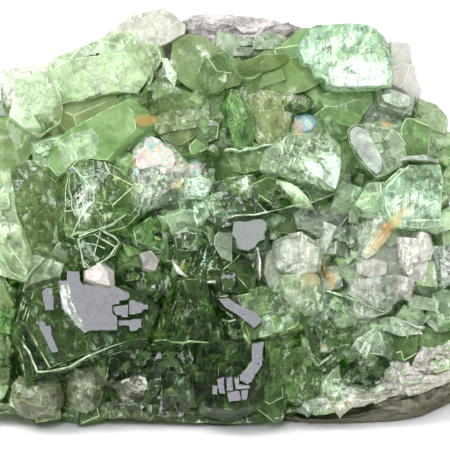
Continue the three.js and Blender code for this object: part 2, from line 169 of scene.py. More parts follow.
# what the materials are put together with
def newMaterial(name):
    material = bpy.data.materials.new(name)
    material.use_nodes = True
    nodes, links = material.node_tree.nodes, material.node_tree.links

    def connect(made, plug):
        for socket, value in plug.items():
            if isinstance(value, bpy.types.NodeSocket):
                links.new(value, made.inputs[socket])
            else:
                made.inputs[socket].default_value = value

    def add(kind, plug=None, **settings):
        made = nodes.new("ShaderNode" + kind)
        for key, value in settings.items():
            setattr(made, key, value)
        connect(made, plug or {})
        return made

    def reckon(operation, first, second=0.0, third=0.0, clamp=False):
        return add("Math", {0: first, 1: second, 2: third}, operation=operation, use_clamp=clamp).outputs[0]

    def times(first, second):
        return reckon("MULTIPLY", first, second)

    def timesPlus(first, second, third):
        return reckon("MULTIPLY_ADD", first, second, third)

    def spread(value, low, high, start=0.0, end=1.0):
        limits = {"From Min": low, "From Max": high, "To Min": start, "To Max": end}
        return add("MapRange", {"Value": value, **limits}).outputs["Result"]

    def clouds(where, scale, detail=4, roughness=0.55, distortion=0.0):
        return add("TexNoise", {"Vector": where, "Scale": scale, "Detail": detail, "Roughness": roughness,
                                "Distortion": distortion}).outputs

    def mixed(share, first, second):
        return add("Mix", {"Factor": share, "A": first, "B": second}, data_type="RGBA").outputs["Result"]

    return material, connect, add, reckon, times, timesPlus, spread, clouds, mixed


# tints of the crystals
tints = {
    "clear": (0.60, 0.78, 0.52),
    "white": (0.63, 0.69, 0.61),
    "snow": (0.66, 0.79, 0.70),
    "blush": (0.76, 0.71, 0.68),
    "frost": (0.60, 0.65, 0.53),
    "mint": (0.50, 0.72, 0.41),
    "bright mint": (0.56, 0.84, 0.56),
    "pale": (0.50, 0.65, 0.37),
    "olive": (0.17, 0.27, 0.07),
    "brown": (0.26, 0.33, 0.11),
    "green": (0.21, 0.38, 0.11),
    "bright": (0.24, 0.52, 0.12),
    "dark": (0.12, 0.23, 0.04),
    "deep": (0.19, 0.35, 0.09),
    "grey": (0.36, 0.44, 0.31),
    "pink": (0.68, 0.60, 0.60),
    "cream": (0.62, 0.55, 0.47),
    "pebble": (0.20, 0.22, 0.12),
    # dark green of the strip along the foot, partly painted shade under the specimen
    "base": (0.13, 0.20, 0.05),
    "sky": (0.12, 0.40, 0.52),
    "bronze": (0.30, 0.22, 0.03),
}
# a crystal's looks and shape, where its own row doesn't say otherwise
usual = {
    "cloud": 0.35,      # how milky, from 0 to 1
    "crazed": 0.5,      # how full of fine cracks, from 0 to 1
    "calm": 0,          # how smooth and plain, from 0 to 1
    "broken": 0.6,      # how far its edges are chipped away, from 0 to 1
    "rim": (0.1, 0.8),  # least and greatest brightness of the worn edges
    "ledges": None,     # how many plates stand out of its face; None leaves it to the face's size
    "corners": [],      # which corners are cleaved off, and how deep
    "terraces": 0,
    "steps": (),        # the side that is stepped, and how many steps
}
leafy = dict(ledges=0, broken=0.3, rim=(0, 0.25), calm=0.2)   # thin plates over the frosted blocks


# outlines were read off the photograph, across and up in turn, in tenths of a millimetre
def points(tenths):
    return [(across / 10, up / 10) for across, up in zip(tenths[::2], tenths[1::2])]


# where a crystal is on the face, how far it stands out, its size, turn in degrees, tint and outline
def row(at, proud, size, turn, tint=None, outline=(), **more):
    return dict(usual, at=at, proud=proud, size=size, turn=turn, tint=tint, outline=points(outline), **more)


crystals = [
    # upper edge
    row((-68, 98), -6, (9, 12, 14), (10, -20, -12), "white", [-711, 1026, -651, 1020, -633, 990, -648, 969,
        -657, 924, -711, 918], cloud=0.9, crazed=0.2),
    row((-57, 93), 2, (16, 14, 18), (-35, -12, -14), "clear", [-638, 1034, -602, 1042, -527, 1064, -486, 956,
        -490, 909, -496, 887, -529, 887, -572, 870, -610, 892, -649, 926, -632, 991], cloud=0.65, crazed=0.25,
        calm=0.4, broken=0.3, ledges=0),
    row((-57, 102.5), -4, (19, 11, 16), (9, -8, -26), "frost", cloud=0.9),
    row((-45, 106), -2, (19, 11, 16), (27, -10, -18), "pale", cloud=0.8, corners=[(-1, 1, 1, 4)]),
    row((-31, 108.5), 4, (16, 15, 18), (19, 6, -8), "pale", [-511, 1096, -374, 1152, -285, 1178, -245, 1124,
        -232, 1085, -210, 1064, -262, 991, -339, 991, -412, 973, -486, 956, -503, 991, -527, 1064], cloud=0.8,
        crazed=0.45, calm=0.15, ledges=0),
    row((-19.5, 117), -5, (20, 13, 14), (-10, 10, -18), "blush", [-391, 1141, -275, 1227, -184, 1244, -146,
        1219, -115, 1189, -120, 1163, -159, 1141, -219, 1115, -253, 1111, -288, 1124], cloud=0.7, crazed=0.5,
        calm=0.25, broken=0, ledges=0),
    row((-8, 107), 6, (15.5, 16.5, 18), (-32, -13, -3), "olive", [-159, 1141, -115, 1167, -72, 1163, 0, 1111,
        3, 1025, -29, 991, -81, 986, -115, 1008, -141, 1025, -167, 1081], cloud=0.7, crazed=0.05, calm=0.5,
        broken=0.5, ledges=0, rim=(0, 0.3), name="olive block"),
    row((12, 110), 4, (27, 10, 16), (14, 8, -20), "green", [47, 1038, 73, 1090, 125, 1124, 164, 1128, 228,
        1189, 254, 1193, 232, 1141, 220, 1085, 142, 1072, 86, 1038], cloud=0.7, crazed=0.1, calm=0.4),
    row((13.5, 102), 5, (26, 12, 18), (17, -10, -3), "olive", [0, 982, 39, 1023, 116, 1059, 202, 1094, 224,
        1098, 245, 1072, 275, 1046, 284, 1021, 241, 995, 207, 986, 185, 969, 125, 965, 99, 986, 65, 1008],
        cloud=0.7, crazed=0.05, calm=0.7, broken=0.3, ledges=1),
    row((7.5, 90), 7, (8, 19, 16), (13, 16, -4), "bright", [22, 995, 43, 991, 77, 939, 90, 879, 84, 831, 34,
        825, 13, 879, 9, 939], cloud=0.4, crazed=0.6, calm=0.2, broken=0.3, ledges=0),
    row((37, 108.5), 9, (28, 20, 22), (2, 6, -8), "bright mint", [222, 1128, 254, 1180, 275, 1191, 366, 1197,
        413, 1192, 456, 1182, 480, 1167, 495, 1145, 504, 1102, 503, 1012, 473, 1008, 344, 1003, 312, 1010, 303,
        1031, 275, 1040, 263, 1072, 237, 1081, 228, 1107], cloud=0.6, crazed=0.6, broken=0.7, ledges=2,
        name="great mint crystal"),
    row((52.5, 109.5), -1, (8, 10, 12), (-6, 14, -10), "blush", [501, 1143, 547, 1140, 560, 1128, 563, 1077,
        538, 1064, 499, 1055], cloud=0.8, crazed=0.1, calm=0.7),
    row((54, 101), 2, (10, 12, 13), (-14, 20, -6), "blush", [501, 1064, 542, 1077, 578, 1068, 576, 1042, 595,
        999, 590, 969, 560, 963, 534, 986, 501, 999], cloud=0.8, crazed=0.1, calm=0.7),
    row((51.5, 96), 6, (9, 6, 10), (-18, 4, -26), "white", cloud=0.6),
    row((51.5, 97.0), 9.5, (8, 4, 4), (10, 6, -8), "frost", [474, 982, 518, 992, 556, 978, 554, 952, 518, 948,
        483, 963], cloud=0.7, crazed=0.6, broken=0.3, ledges=0),
    # upper middle
    row((-64, 83), 1, (20, 17, 18), (-8, -16, -8), "olive", [-709, 917, -653, 922, -572, 866, -537, 853, -589,
        801, -615, 754, -649, 750, -709, 745], cloud=0.7, crazed=0.3, calm=0.5),
    row((-41, 95.5), 5, (18, 8, 16), (21, 12, -6), "brown", [-486, 952, -400, 978, -335, 993, -309, 969, -374,
        922, -468, 870, -492, 896], cloud=0.8, crazed=0.1, calm=0.7, ledges=0),
    row((-41, 86.5), 9, (27, 13, 20), (26, -8, -10), "green", [-529, 831, -468, 876, -374, 928, -305, 963,
        -275, 930, -267, 879, -296, 851, -354, 786, -382, 788, -434, 795, -460, 758, -503, 739, -531, 771],
        cloud=0.75, crazed=0.1, calm=0.6, broken=0.1, ledges=0, name="green slab"),
    row((-50, 79), 8, (12, 11, 14), (20, -16, 6), "mint", [-589, 818, -550, 840, -503, 844, -499, 771, -546,
        765, -567, 769, -585, 793], cloud=0.6, crazed=0.3),
    row((-21.5, 98), 4, (11, 13, 14), (-16, 18, -8), "deep", corners=[(1, -1, 1, 4)]),
    row((-13, 92), 5, (16, 9, 14), (12, -10, -20), "olive", cloud=0.5),
    row((-5.5, 88), 9, (8, 7, 10), (-8, -3, -12), "green", [-75, 912, -15, 897, -23, 851, -51, 842, -86, 868],
        crazed=0.1, broken=0.1, ledges=0),
    row((-6, 81.5), 8, (7.5, 6, 10), (2, -3, -12), "green", [-98, 805, -105, 831, -83, 855, -25, 840, -21, 803,
        -51, 818], crazed=0.1, broken=0.3, ledges=0),
    row((0.5, 83), 5, (8, 10, 12), (0, 12, -6), "green"),
    row((15.5, 90), 5, (8.5, 18, 14), (11, -14, -6), "brown", [123, 922, 159, 941, 189, 922, 189, 879, 172,
        857, 129, 848]),
    row((28, 97), 4, (18, 12, 16), (-13, 12, -14), "olive", [275, 969, 301, 1008, 370, 1012, 387, 965, 400,
        892, 370, 900, 340, 926, 284, 956], cloud=0.5, calm=0.4),
    row((42, 95), 4, (16, 11, 16), (11, -8, -12), "green", [344, 991, 374, 1008, 452, 1012, 458, 978, 430, 935,
        400, 887, 374, 939], cloud=0.5, calm=0.4),
    row((52.5, 91), 4, (18, 12, 16), (-16, 8, -10), "grey", [456, 969, 486, 973, 543, 950, 546, 913, 525, 874,
        512, 866, 443, 879, 409, 883, 430, 935], cloud=0.6, crazed=0.3),
    row((58.3, 85), 11, (9, 13, 14), (0, 4, -4), "green", [543, 911, 612, 910, 614, 853, 611, 800, 544, 787,
        532, 836, 526, 879], cloud=0.5, crazed=0.3, calm=0.4, broken=0.1, ledges=0, rim=(0.5, 1)),
    row((66, 80), 1, (12, 19, 18), (3, 22, -8), "pale", [555, 958, 590, 948, 622, 934, 626, 896, 646, 874, 706,
        866, 706, 780, 603, 780, 542, 879], cloud=0.8),
    row((24, 88), 7, (9.5, 8.5, 12), (-16, -12, -10), "pale", [198, 926, 228, 932, 258, 915, 282, 896, 269,
        859, 202, 857, 189, 874, 207, 900]),
    row((27.5, 78), 10, (18, 22, 20), (-18, 8, -6), "mint", [151, 818, 194, 855, 258, 861, 310, 857, 342, 831,
        346, 771, 352, 711, 332, 691, 275, 711, 232, 732, 185, 750, 129, 767], cloud=0.5, crazed=0.9, calm=0.1,
        name="clear crystal"),
    row((43.5, 81), 11, (12, 17, 16), (28, -14, -6), "clear", [372, 872, 392, 887, 499, 874, 532, 844, 540,
        799, 516, 775, 473, 750, 448, 741, 418, 771, 394, 810, 377, 840], cloud=0.4, rim=(0.4, 0.9),
        name="clear blade"),
    row((58, 68), 13, (16, 19, 20), (0, 7, -7), "bright mint", [512, 737, 555, 771, 646, 770, 655, 728, 650,
        655, 646, 591, 603, 582, 508, 590, 480, 646, 484, 706], cloud=0.6, crazed=0.7, broken=0.1,
        rim=(0.4, 0.9)),
    row((46.5, 70), 6, (12, 13, 15), (36, 6, -12), "green"),
    # middle
    row((-66, 63), 8, (13, 25, 18), (5, -18, -4), "pale", [-711, 762, -651, 756, -639, 696, -630, 621, -609,
        546, -588, 480, -603, 420, -711, 450], cloud=0.6),
    row((-55, 60), 6, (15, 33, 18), (4, 10, 2), "olive", [-641, 741, -589, 788, -524, 771, -464, 750, -468,
        663, -475, 591, -503, 565, -518, 514, -578, 410, -598, 346, -623, 350, -589, 449, -615, 518, -632, 591,
        -645, 672], cloud=0.5, crazed=0.6, calm=0.2, broken=0.3),
    row((-36, 67), 12, (21, 22, 20), (8, 6, -6), "deep", [-466, 754, -436, 786, -400, 795, -363, 782, -307,
        754, -262, 706, -250, 663, -262, 625, -301, 588, -365, 572, -434, 552, -468, 565, -476, 591, -474,
        651], cloud=0.3, crazed=0.8, calm=0.15, broken=0.3, ledges=0, rim=(0.4, 0.9)),
    row((-37.5, 51.5), 13.5, (11.5, 11.5, 14), (36, 8, 4), "deep", [-440, 546, -365, 576, -317, 537, -331, 503,
        -395, 462, -422, 465], cloud=0.2, crazed=0.9, broken=0.1, ledges=0, rim=(0.6, 1)),
    row((-19, 76), 9, (16, 19, 16), (-24, 10, -14), "clear", [-227, 859, -186, 844, -120, 810, -54, 780, -72,
        756, -100, 734, -100, 702, -141, 681, -210, 659, -227, 646, -254, 661, -271, 694, -267, 728, -281, 754,
        -268, 771, -268, 814, -245, 836], cloud=0.4, crazed=0.8, name="fan crystal"),
    row((-22.5, 57), 9, (9, 11, 12), (8, 16, 2), "bright", [-275, 582, -219, 617, -165, 591, -169, 550, -193,
        511, -227, 507, -263, 531], cloud=0.2, broken=0.2),
    row((-12, 54), 11, (7, 8, 10), (2, -6, 4), "clear", [-152, 565, -120, 574, -87, 563, -89, 520, -115, 514,
        -146, 517], cloud=0.15, broken=0.1, rim=(0.4, 0.9)),
    row((-10, 68), 7, (12, 15, 14), (4, -16, -8), "mint", cloud=0.3, crazed=0.9, steps=(1, 3)),
    row((2, 67.5), 10, (18.5, 12, 16), (9, 4, -10), "green", [-57, 708, 9, 729, 81, 741, 105, 696, 99, 657,
        129, 627, 45, 594, -9, 588, -54, 621], cloud=0.2, broken=0.4),
    row((7.5, 56), 11, (10, 9, 12), (-6, -3, -12), "grey", [33, 600, 111, 603, 117, 528, 75, 516, 39, 534],
        cloud=0.3, ledges=0),
    row((-5.5, 51), 9, (18, 19, 18), (-24, 10, -6), "deep", [-159, 480, -147, 558, -87, 570, -45, 528, -3, 588,
        27, 576, 24, 480, 12, 435, -45, 414, -87, 429, -126, 462], cloud=0.15, crazed=1,
        name="great diagonal"),
    row((16.5, 65), 6, (13, 12, 14), (16, 12, -8), "green"),
    row((22, 47.5), 10, (20, 16, 18), (-9, -6, -6), "frost", [129, 509, 181, 529, 258, 529, 282, 505, 282, 445,
        258, 410, 181, 402, 138, 406, 123, 449], cloud=0.6, crazed=0.8, calm=0.4, ledges=1),
    row((29, 60.5), 8, (15, 14, 15), (14, 14, -12), "grey", cloud=0.4, corners=[(-1, 1, 1, 4)]),
    row((47, 58), 11, (5, 16, 12), (-41, 12, -6), "frost", [452, 608, 512, 617, 499, 565, 484, 533, 430, 492,
        415, 505, 445, 557], cloud=0.7, crazed=0.9),
    row((54.5, 50), 8, (20, 20, 18), (-12, 10, -8), "frost", [413, 498, 508, 550, 529, 591, 620, 561, 635, 505,
        620, 470, 598, 419, 560, 367, 508, 348, 473, 335, 422, 352, 374, 384, 400, 449], cloud=0.62,
        crazed=0.8, calm=0.4, ledges=1),
    row((61, 53.5), 14, (6, 11, 12), (-7, 18, -4), "pink", [591, 569, 607, 565, 626, 516, 618, 488, 570, 481],
        cloud=0.8),
    row((68, 47), 6, (12, 18, 18), (8, 24, -4), "white", [624, 526, 706, 535, 706, 410, 646, 415, 629, 466],
        cloud=0.6),
    row((41.5, 48.5), 7, (15, 15, 16), (21, -12, -6), "pale", cloud=0.45),
    row((56.7, 48.6), 13, (8, 14, 4), (-6, 12, -3), "blush", [525, 554, 600, 546, 609, 479, 604, 426, 570, 419,
        534, 464], cloud=0.6, crazed=0.9, **leafy),
    row((44.9, 45.5), 13, (7, 4, 4), (-4, 10, 2), "blush", [414, 471, 450, 477, 484, 471, 480, 445, 450, 434,
        420, 447], cloud=0.7, crazed=0.4, **leafy),
    row((45.9, 39.4), 12.6, (14, 9, 4), (-3, 8, -7), "frost", [391, 426, 450, 434, 518, 437, 526, 377, 465,
        350, 409, 381], cloud=0.55, crazed=0.9, **leafy),
    row((60.0, 44.2), 13, (8, 8, 4), (-4, 9, 4), "pale", [561, 471, 631, 480, 639, 404, 578, 410], cloud=0.5,
        crazed=0.8, **leafy),
    row((54.5, 40.1), 13.4, (6, 8, 4), (-8, 14, -1), "pink", [525, 440, 573, 426, 559, 362, 518, 387],
        cloud=0.6, crazed=0.6, **leafy),
    row((21.6, 49.8), 14.2, (12, 11, 4), (-10, -4, 3), "frost", [154, 531, 225, 554, 279, 516, 271, 455, 210,
        441, 159, 464], cloud=0.5, crazed=1, **leafy),
    row((23.4, 39.3), 13.6, (12, 11, 4), (-8, 7, -8), "pale", [176, 437, 283, 450, 292, 352, 248, 336, 188,
        389], cloud=0.45, crazed=1, **leafy),
    # lower
    row((-41, 31.5), 13, (33, 31, 28), (12, 8, -3), "dark", [-574, 393, -494, 425, -400, 417, -301, 410, -223,
        367, -186, 316, -204, 251, -292, 242, -425, 201, -568, 147, -579, 225, -603, 281], cloud=0.08,
        crazed=0.7, calm=0.3, broken=0.1, rim=(0.2, 0.6), terraces=3),
    row((-38.2, 44.4), 15.5, (7, 6, 4), (-12, -9, -9), "pink", [-418, 455, -375, 476, -352, 452, -350, 426,
        -346, 411, -386, 419, -416, 430], cloud=0.8, crazed=0, calm=0.6, broken=0, ledges=0),
    row((-65, 33), 7, (16, 15, 16), (-11, -16, -4), "bright", [-711, 366, -609, 369, -594, 282, -615, 264,
        -711, 270], cloud=0.5, crazed=0.3),
    row((-64, 19), 4, (17, 15, 18), (14, -20, 8), "olive", [-711, 210, -657, 222, -606, 267, -585, 234, -615,
        210, -648, 162, -711, 150], cloud=0.3, crazed=0.8),
    row((-11.4, 36.5), 14, (21, 25, 22), (0, 9, -3), "dark", [-186, 363, -120, 430, -55, 423, -42, 350, -6,
        290, -4, 240, -208, 234, -208, 268, -180, 311], cloud=0.12, crazed=0.6, calm=0.2, broken=0.1,
        rim=(0.1, 0.4)),
    row((4.5, 33.5), 11.5, (17, 6, 14), (-29, -3, -12), "deep", [-24, 375, 9, 378, 111, 330, 180, 276, 141,
        252, 45, 300, -15, 342], cloud=0.1, crazed=0.4, broken=0.2, ledges=0),
    row((3, 27.5), 12, (12, 9, 14), (-33, 14, 4), "green", [3, 300, 63, 318, 111, 288, 123, 246, 75, 234, 21,
        246], cloud=0.1, broken=0.2),
    row((2.5, 14.5), 14, (20, 22, 22), (-1, 8, -3), "dark", [-57, 240, 111, 243, 117, 150, 114, 54, 21, 36,
        -51, 54, -75, 141], cloud=0.08, calm=0.2, broken=0.1, rim=(0.1, 0.5), steps=(-1, 4)),
    row((16.5, 17.5), 10, (9, 24, 18), (0, 8, -2), "deep", [123, 247, 161, 283, 166, 225, 173, 161, 174, 75,
        129, 51, 115, 55, 118, 161], cloud=0.3, crazed=0.2, broken=0.2),
    row((14, 34), 11, (19, 13, 16), (15, 8, -16), "green", corners=[(1, -1, 1, 5)]),
    row((29, 26), 10, (16, 19, 16), (6, 6, -4), "green", [250, 298, 301, 316, 340, 309, 372, 264, 372, 208,
        301, 156, 275, 176, 252, 221], cloud=0.15, crazed=0.8, rim=(0.4, 0.9)),
    row((41.5, 20.5), 12, (9, 17, 14), (-20, -14, -4), "clear", [369, 201, 398, 247, 430, 279, 458, 266, 476,
        217, 469, 201, 422, 210, 390, 176, 374, 176], cloud=0.3, broken=0.3),
    row((57, 25), 5, (23, 15, 18), (-5, 12, -6), "green", [516, 270, 611, 292, 706, 281, 706, 186, 581, 184,
        538, 199, 520, 221], cloud=0.7, crazed=0.2),
    row((31, 13), 6, (19, 7, 16), (7, 6, -26), "frost", [275, 122, 327, 135, 430, 107, 445, 83, 387, 68, 301,
        64, 258, 38, 232, 44], cloud=0.55),
    row((-22.5, 19), 6, (27, 13, 16), (13, 8, 4), "dark", cloud=0.1, corners=[(1, 1, 1, 4)]),
    row((-27, 11), 11, (8, 6, 12), (18, 12, -8), "pebble", cloud=0.4, crazed=0.9, corners=[(1, -1, 1, 3)]),
    row((-12, 14), 9, (14, 17, 15), (6, -14, 4), "dark", cloud=0.1, corners=[(1, 1, 1, 4)]),
    # single ones between them, and the dark green strip along the foot, whose darkness is partly painted shade
    # under the specimen
    row((6, 111), 3.5, (20, 9, 14), (4, 5, -10), "grey", [-26, 1171, 34, 1165, 82, 1148, 125, 1176, 196, 1156,
        168, 1130, 121, 1122, 65, 1090, 26, 1051, -26, 1085], cloud=0.8, crazed=0.4),
    row((23, 37), 9, (12, 9, 12), (-9, 4, -4), "mint", [170, 408, 258, 412, 291, 376, 286, 331, 241, 329, 202,
        356, 176, 384], cloud=0.5, crazed=0.8),
    row((42.5, 15.5), 11, (11, 9, 12), (10, 6, 2), "dark", [374, 178, 422, 209, 486, 182, 493, 167, 458, 139,
        433, 102, 387, 115, 364, 126], cloud=0.15),
    row((-12, 3), 5, (118, 8, 14), (0, 0, 8), "base", [-711, 66, -615, 42, -495, 24, -435, 42, -345, 60, -225,
        54, -75, 39, 105, 51, 255, 42, 255, 3, 90, -3, -30, -6, -180, 3, -315, 9, -495, 15, -711, 24],
        cloud=0.5, crazed=0.9, calm=0, broken=0, ledges=0, rim=(0, 0.1)),
    row((56, 31), 8, (10, 6, 12), (-20, 6, -8), "mint", [511, 313, 538, 352, 620, 318, 592, 283, 555, 288],
        cloud=0.6, crazed=0.3),
    # broad broken facets between the cubes
    row((-17.5, 98), 5, (19, 13, 14), (10, -9, -3), "olive", [-261, 966, -225, 1026, -195, 1050, -183, 1014,
        -150, 1002, -117, 990, -69, 972, -99, 927, -195, 921, -255, 933], cloud=0.6, crazed=0.4, calm=0.3),
    row((-15.9, 88.7), 6, (20, 10, 14), (-5, -10, -4), "brown", [-267, 924, -150, 933, -78, 927, -72, 888,
        -105, 843, -150, 837, -195, 858, -258, 882], cloud=0.6, crazed=0.4, calm=0.3),
    row((-2.4, 95.3), 5, (11, 10, 14), (5, 8, -8), "green", [-81, 978, -33, 996, 9, 1005, 33, 966, 21, 912,
        -39, 903, -75, 912], cloud=0.6, crazed=0.3, calm=0.3),
    row((-9.7, 80.8), 5, (19, 10, 14), (0, 6, -4), "deep", [-195, 855, -147, 837, -87, 846, -27, 816, -9, 771,
        -60, 750, -105, 771, -147, 816], cloud=0.3, crazed=0.4, calm=0.2),
    row((36.4, 94.6), 6, (17, 10, 14), (-8, 4, -12), "green", [279, 978, 330, 993, 453, 984, 444, 963, 411,
        915, 390, 888, 318, 912, 285, 933], cloud=0.6, crazed=0.3, calm=0.4),
    row((39.3, 78.5), 6, (11, 18, 14), (-10, 8, -6), "green", [345, 882, 381, 888, 399, 816, 438, 750, 459,
        714, 411, 708, 369, 738, 345, 786], cloud=0.6, crazed=0.3, calm=0.3),
    row((57, 73.2), 14, (17, 8, 14), (0, 7, -7), "mint", [483, 723, 540, 774, 648, 777, 651, 720, 573, 705,
        525, 696], cloud=0.45, crazed=0.8, calm=0.2),
    row((43.9, 67.5), 9, (11, 9, 14), (12, -6, -8), "mint", [411, 714, 483, 720, 489, 645, 429, 630, 381, 666],
        cloud=0.7, crazed=0.6, calm=0.2),
    row((17.2, 68.5), 10, (17, 9, 14), (-15, 4, -8), "green", [93, 714, 135, 732, 240, 696, 261, 651, 195, 642,
        111, 672], cloud=0.3, crazed=0.5, calm=0.2),
    row((21.8, 68.3), 11.5, (9, 7, 14), (-15, 4, -8), "mint", [171, 720, 201, 714, 243, 678, 261, 651, 237,
        654, 195, 684], cloud=0.85, crazed=0.2, calm=0.3),
    row((21.8, 59.9), 8, (17, 8, 14), (4, -4, -10), "olive", [141, 624, 216, 642, 273, 609, 309, 579, 225, 567,
        147, 573], cloud=0.5, crazed=0.4, calm=0.3),
    row((36.4, 56.1), 8, (14, 13, 14), (-12, 6, -6), "grey", [291, 600, 360, 624, 423, 600, 429, 528, 375, 498,
        303, 516], cloud=0.5, crazed=0.7),
    row((4.5, 45.2), 9, (11, 13, 14), (6, 4, -8), "deep", [9, 492, 45, 516, 93, 516, 99, 462, 81, 402, 45, 390,
        -3, 396, -9, 438], cloud=0.15, crazed=0.4, calm=0.3),
    row((12.8, 36.5), 10, (11, 9, 14), (-10, 6, -4), "green", [75, 396, 111, 408, 189, 378, 183, 342, 129, 318,
        81, 348], cloud=0.4, crazed=0.5),
    row((34.4, 35), 9, (11, 13, 14), (-30, 4, -8), "mint", [291, 396, 333, 414, 399, 366, 393, 300, 345, 288,
        303, 336], cloud=0.5, crazed=0.8),
    row((44.4, 35.6), 9, (11, 8, 14), (8, 10, -6), "frost", [387, 390, 441, 396, 501, 366, 501, 330, 441, 318,
        393, 336], cloud=0.7, crazed=0.5),
    row((51.9, 23.4), 7, (12, 11, 14), (5, -8, -8), "green", [459, 276, 519, 288, 579, 264, 573, 192, 519, 174,
        465, 210], cloud=0.4, crazed=0.3, calm=0.4),
    row((23.6, 14.3), 8, (12, 17, 14), (-6, 8, -4), "deep", [177, 210, 225, 228, 291, 198, 297, 90, 243, 60,
        183, 72], cloud=0.3, crazed=0.6),
    row((33.3, 12.7), 8, (10, 13, 14), (12, 4, -8), "mint", [285, 168, 333, 192, 381, 168, 381, 96, 333, 60,
        285, 78], cloud=0.45, crazed=0.6),
    row((41, 13), 9, (11, 8, 14), (-14, 6, -6), "bright", [363, 174, 417, 150, 471, 126, 459, 96, 393, 102,
        357, 132], cloud=0.3, crazed=0.4),
    row((-25.8, 44.6), 8, (14, 13, 14), (10, -8, -4), "deep", [-327, 510, -273, 492, -195, 480, -189, 390,
        -255, 378, -309, 426], cloud=0.15, crazed=0.7),
    row((-22.7, 48.7), 10, (5, 5, 14), (10, 2, -10), "pink", [-255, 504, -225, 513, -201, 486, -213, 462, -243,
        468], cloud=0.5, crazed=0.2, calm=0.4),
    row((-38.2, 17), 7, (41, 13, 14), (12, 2, -6), "green", [-615, 150, -495, 210, -315, 246, -201, 216, -207,
        126, -345, 114, -495, 126], cloud=0.3, crazed=0.6, calm=0.2),
    row((62.8, 91.9), 3, (10, 11, 14), (-10, 14, -8), "pale", [585, 972, 633, 954, 675, 912, 675, 864, 621,
        882, 579, 930], cloud=0.7, crazed=0.3, calm=0.4),
    row((5.8, 79.8), 7, (14, 10, 14), (8, -6, -8), "green", [-9, 828, 60, 846, 111, 828, 129, 768, 57, 750, -3,
        768], cloud=0.5, crazed=0.4, calm=0.3),
    row((2.4, 104.9), 5.5, (8, 9, 14), (-14, 4, -10), "olive", [-9, 1086, 45, 1095, 66, 1056, 45, 1014, 3,
        1002, -9, 1041], cloud=0.7, crazed=0.2, calm=0.5),
    row((35.6, 8.8), 8, (11, 5, 6), (8, 4, -14), "pale", [303, 90, 360, 114, 411, 102, 381, 72, 327, 60],
        cloud=0.7, crazed=0.6),
    row((45.7, 11.8), 8, (11, 6, 6), (14, 2, -20), "pink", [405, 126, 480, 150, 519, 126, 465, 96, 417, 90],
        cloud=0.7, crazed=0.6),
    row((57.2, 15), 8.2, (12, 6, 6), (12, 6, -20), "frost", [510, 156, 585, 180, 633, 162, 600, 132, 531, 120],
        cloud=0.7, crazed=0.6),
    row((65, 17.4), 8, (6, 5, 6), (14, 6, -16), "pale", [615, 180, 675, 204, 675, 162, 633, 150], cloud=0.7,
        crazed=0.6),
    row((45.0, 9.6), 8, (21, 6, 12), (8, 4, -26), "cream", [345, 96, 390, 117, 435, 114, 477, 105, 519, 117,
        555, 126, 537, 102, 483, 78, 420, 66, 360, 66], cloud=0.75, crazed=0.6),
    row((60.8, 13.3), 8.2, (15, 8, 12), (6, -4, -24), "cream", [534, 114, 585, 141, 639, 156, 681, 174, 681,
        138, 633, 123, 585, 102, 549, 93], cloud=0.75, crazed=0.6),
    row((31.2, 5.4), 8, (13, 4, 12), (4, 4, -24), "pale", [249, 57, 315, 75, 375, 69, 345, 45, 279, 33],
        cloud=0.6, crazed=0.8),
    row((-2.9, 104.7), 7.5, (11, 13, 12), (-8, 10, -4), "green", [-66, 1092, 3, 1110, 27, 1056, -3, 996, -60,
        984, -84, 1026], cloud=0.5, crazed=0.3, calm=0.4, broken=0.4),
    row((12.0, 90.6), 7.5, (15, 17, 12), (6, -10, -3), "brown", [45, 966, 111, 990, 180, 972, 195, 936, 180,
        876, 150, 828, 111, 822, 81, 876, 60, 930], cloud=0.6, crazed=0.8, calm=0.3),
    row((32.1, 89.1), 7.5, (12, 10, 12), (-8, 6, -3), "green", [261, 912, 300, 942, 360, 930, 381, 900, 360,
        858, 330, 840, 285, 858], cloud=0.5, crazed=0.5, calm=0.3),
    row((12.3, 107.6), 7, (16, 6, 12), (8, 4, -4), "olive", [48, 1080, 111, 1104, 180, 1107, 201, 1086, 150,
        1062, 75, 1044, 45, 1050], cloud=0.7, crazed=0.1, calm=0.6, ledges=0, rim=(0, 0.2)),
    row((-22.4, 108.9), 3, (6, 10, 12), (10, -6, -8), "pale", [-246, 1140, -201, 1134, -192, 1086, -222, 1038,
        -255, 1080], cloud=0.7, crazed=0.5, calm=0.2),
    row((-7.5, 70.8), 11, (7, 6, 12), (12, 6, -6), "bright mint", [-111, 726, -75, 738, -39, 720, -57, 678,
        -99, 684], cloud=0.55, crazed=1),
    row((-2.9, 65.5), 10.5, (6, 6, 12), (-14, -6, -5), "mint", [-60, 669, -12, 687, 3, 648, -36, 624],
        cloud=0.5, crazed=1),
    row((-7.5, 63.0), 10.5, (5, 7, 12), (25, 4, -10), "bright mint", [-99, 648, -63, 663, -51, 624, -84, 597],
        cloud=0.5, crazed=1),
    row((27.6, 33.8), 9.5, (8, 8, 12), (20, 6, -8), "clear", [237, 357, 273, 375, 315, 348, 303, 312, 255,
        300], cloud=0.4, crazed=1),
    row((53.1, 28.8), 9, (13, 6, 12), (-6, 8, -5), "clear", [465, 312, 525, 318, 579, 300, 597, 264, 537, 258,
        477, 276], cloud=0.5, crazed=0.8),
    row((23.7, 89.7), 9, (8, 8, 12), (10, 10, -4), "sky", [223, 917, 248, 922, 267, 917, 274, 897, 259, 879,
        237, 873, 226, 888], cloud=0.6, crazed=0.5, calm=0.1, broken=0.1, ledges=0, rim=(0, 0.2)),
    row((22.5, 95.5), 9.5, (7, 5, 12), (4, 10, -2), "deep", [196, 963, 214, 970, 240, 972, 259, 965, 264, 954,
        251, 940, 225, 935, 202, 943], cloud=0.2, crazed=1, broken=0.1, ledges=0, rim=(0, 0.3)),
    row((-16.2, 71.4), 10.5, (20, 13, 12), (-10, 10, -8), "frost", [-264, 762, -201, 768, -153, 756, -60, 777,
        -72, 750, -117, 726, -177, 696, -222, 651, -258, 696], cloud=0.45, crazed=0.9, calm=0.2, broken=0.4,
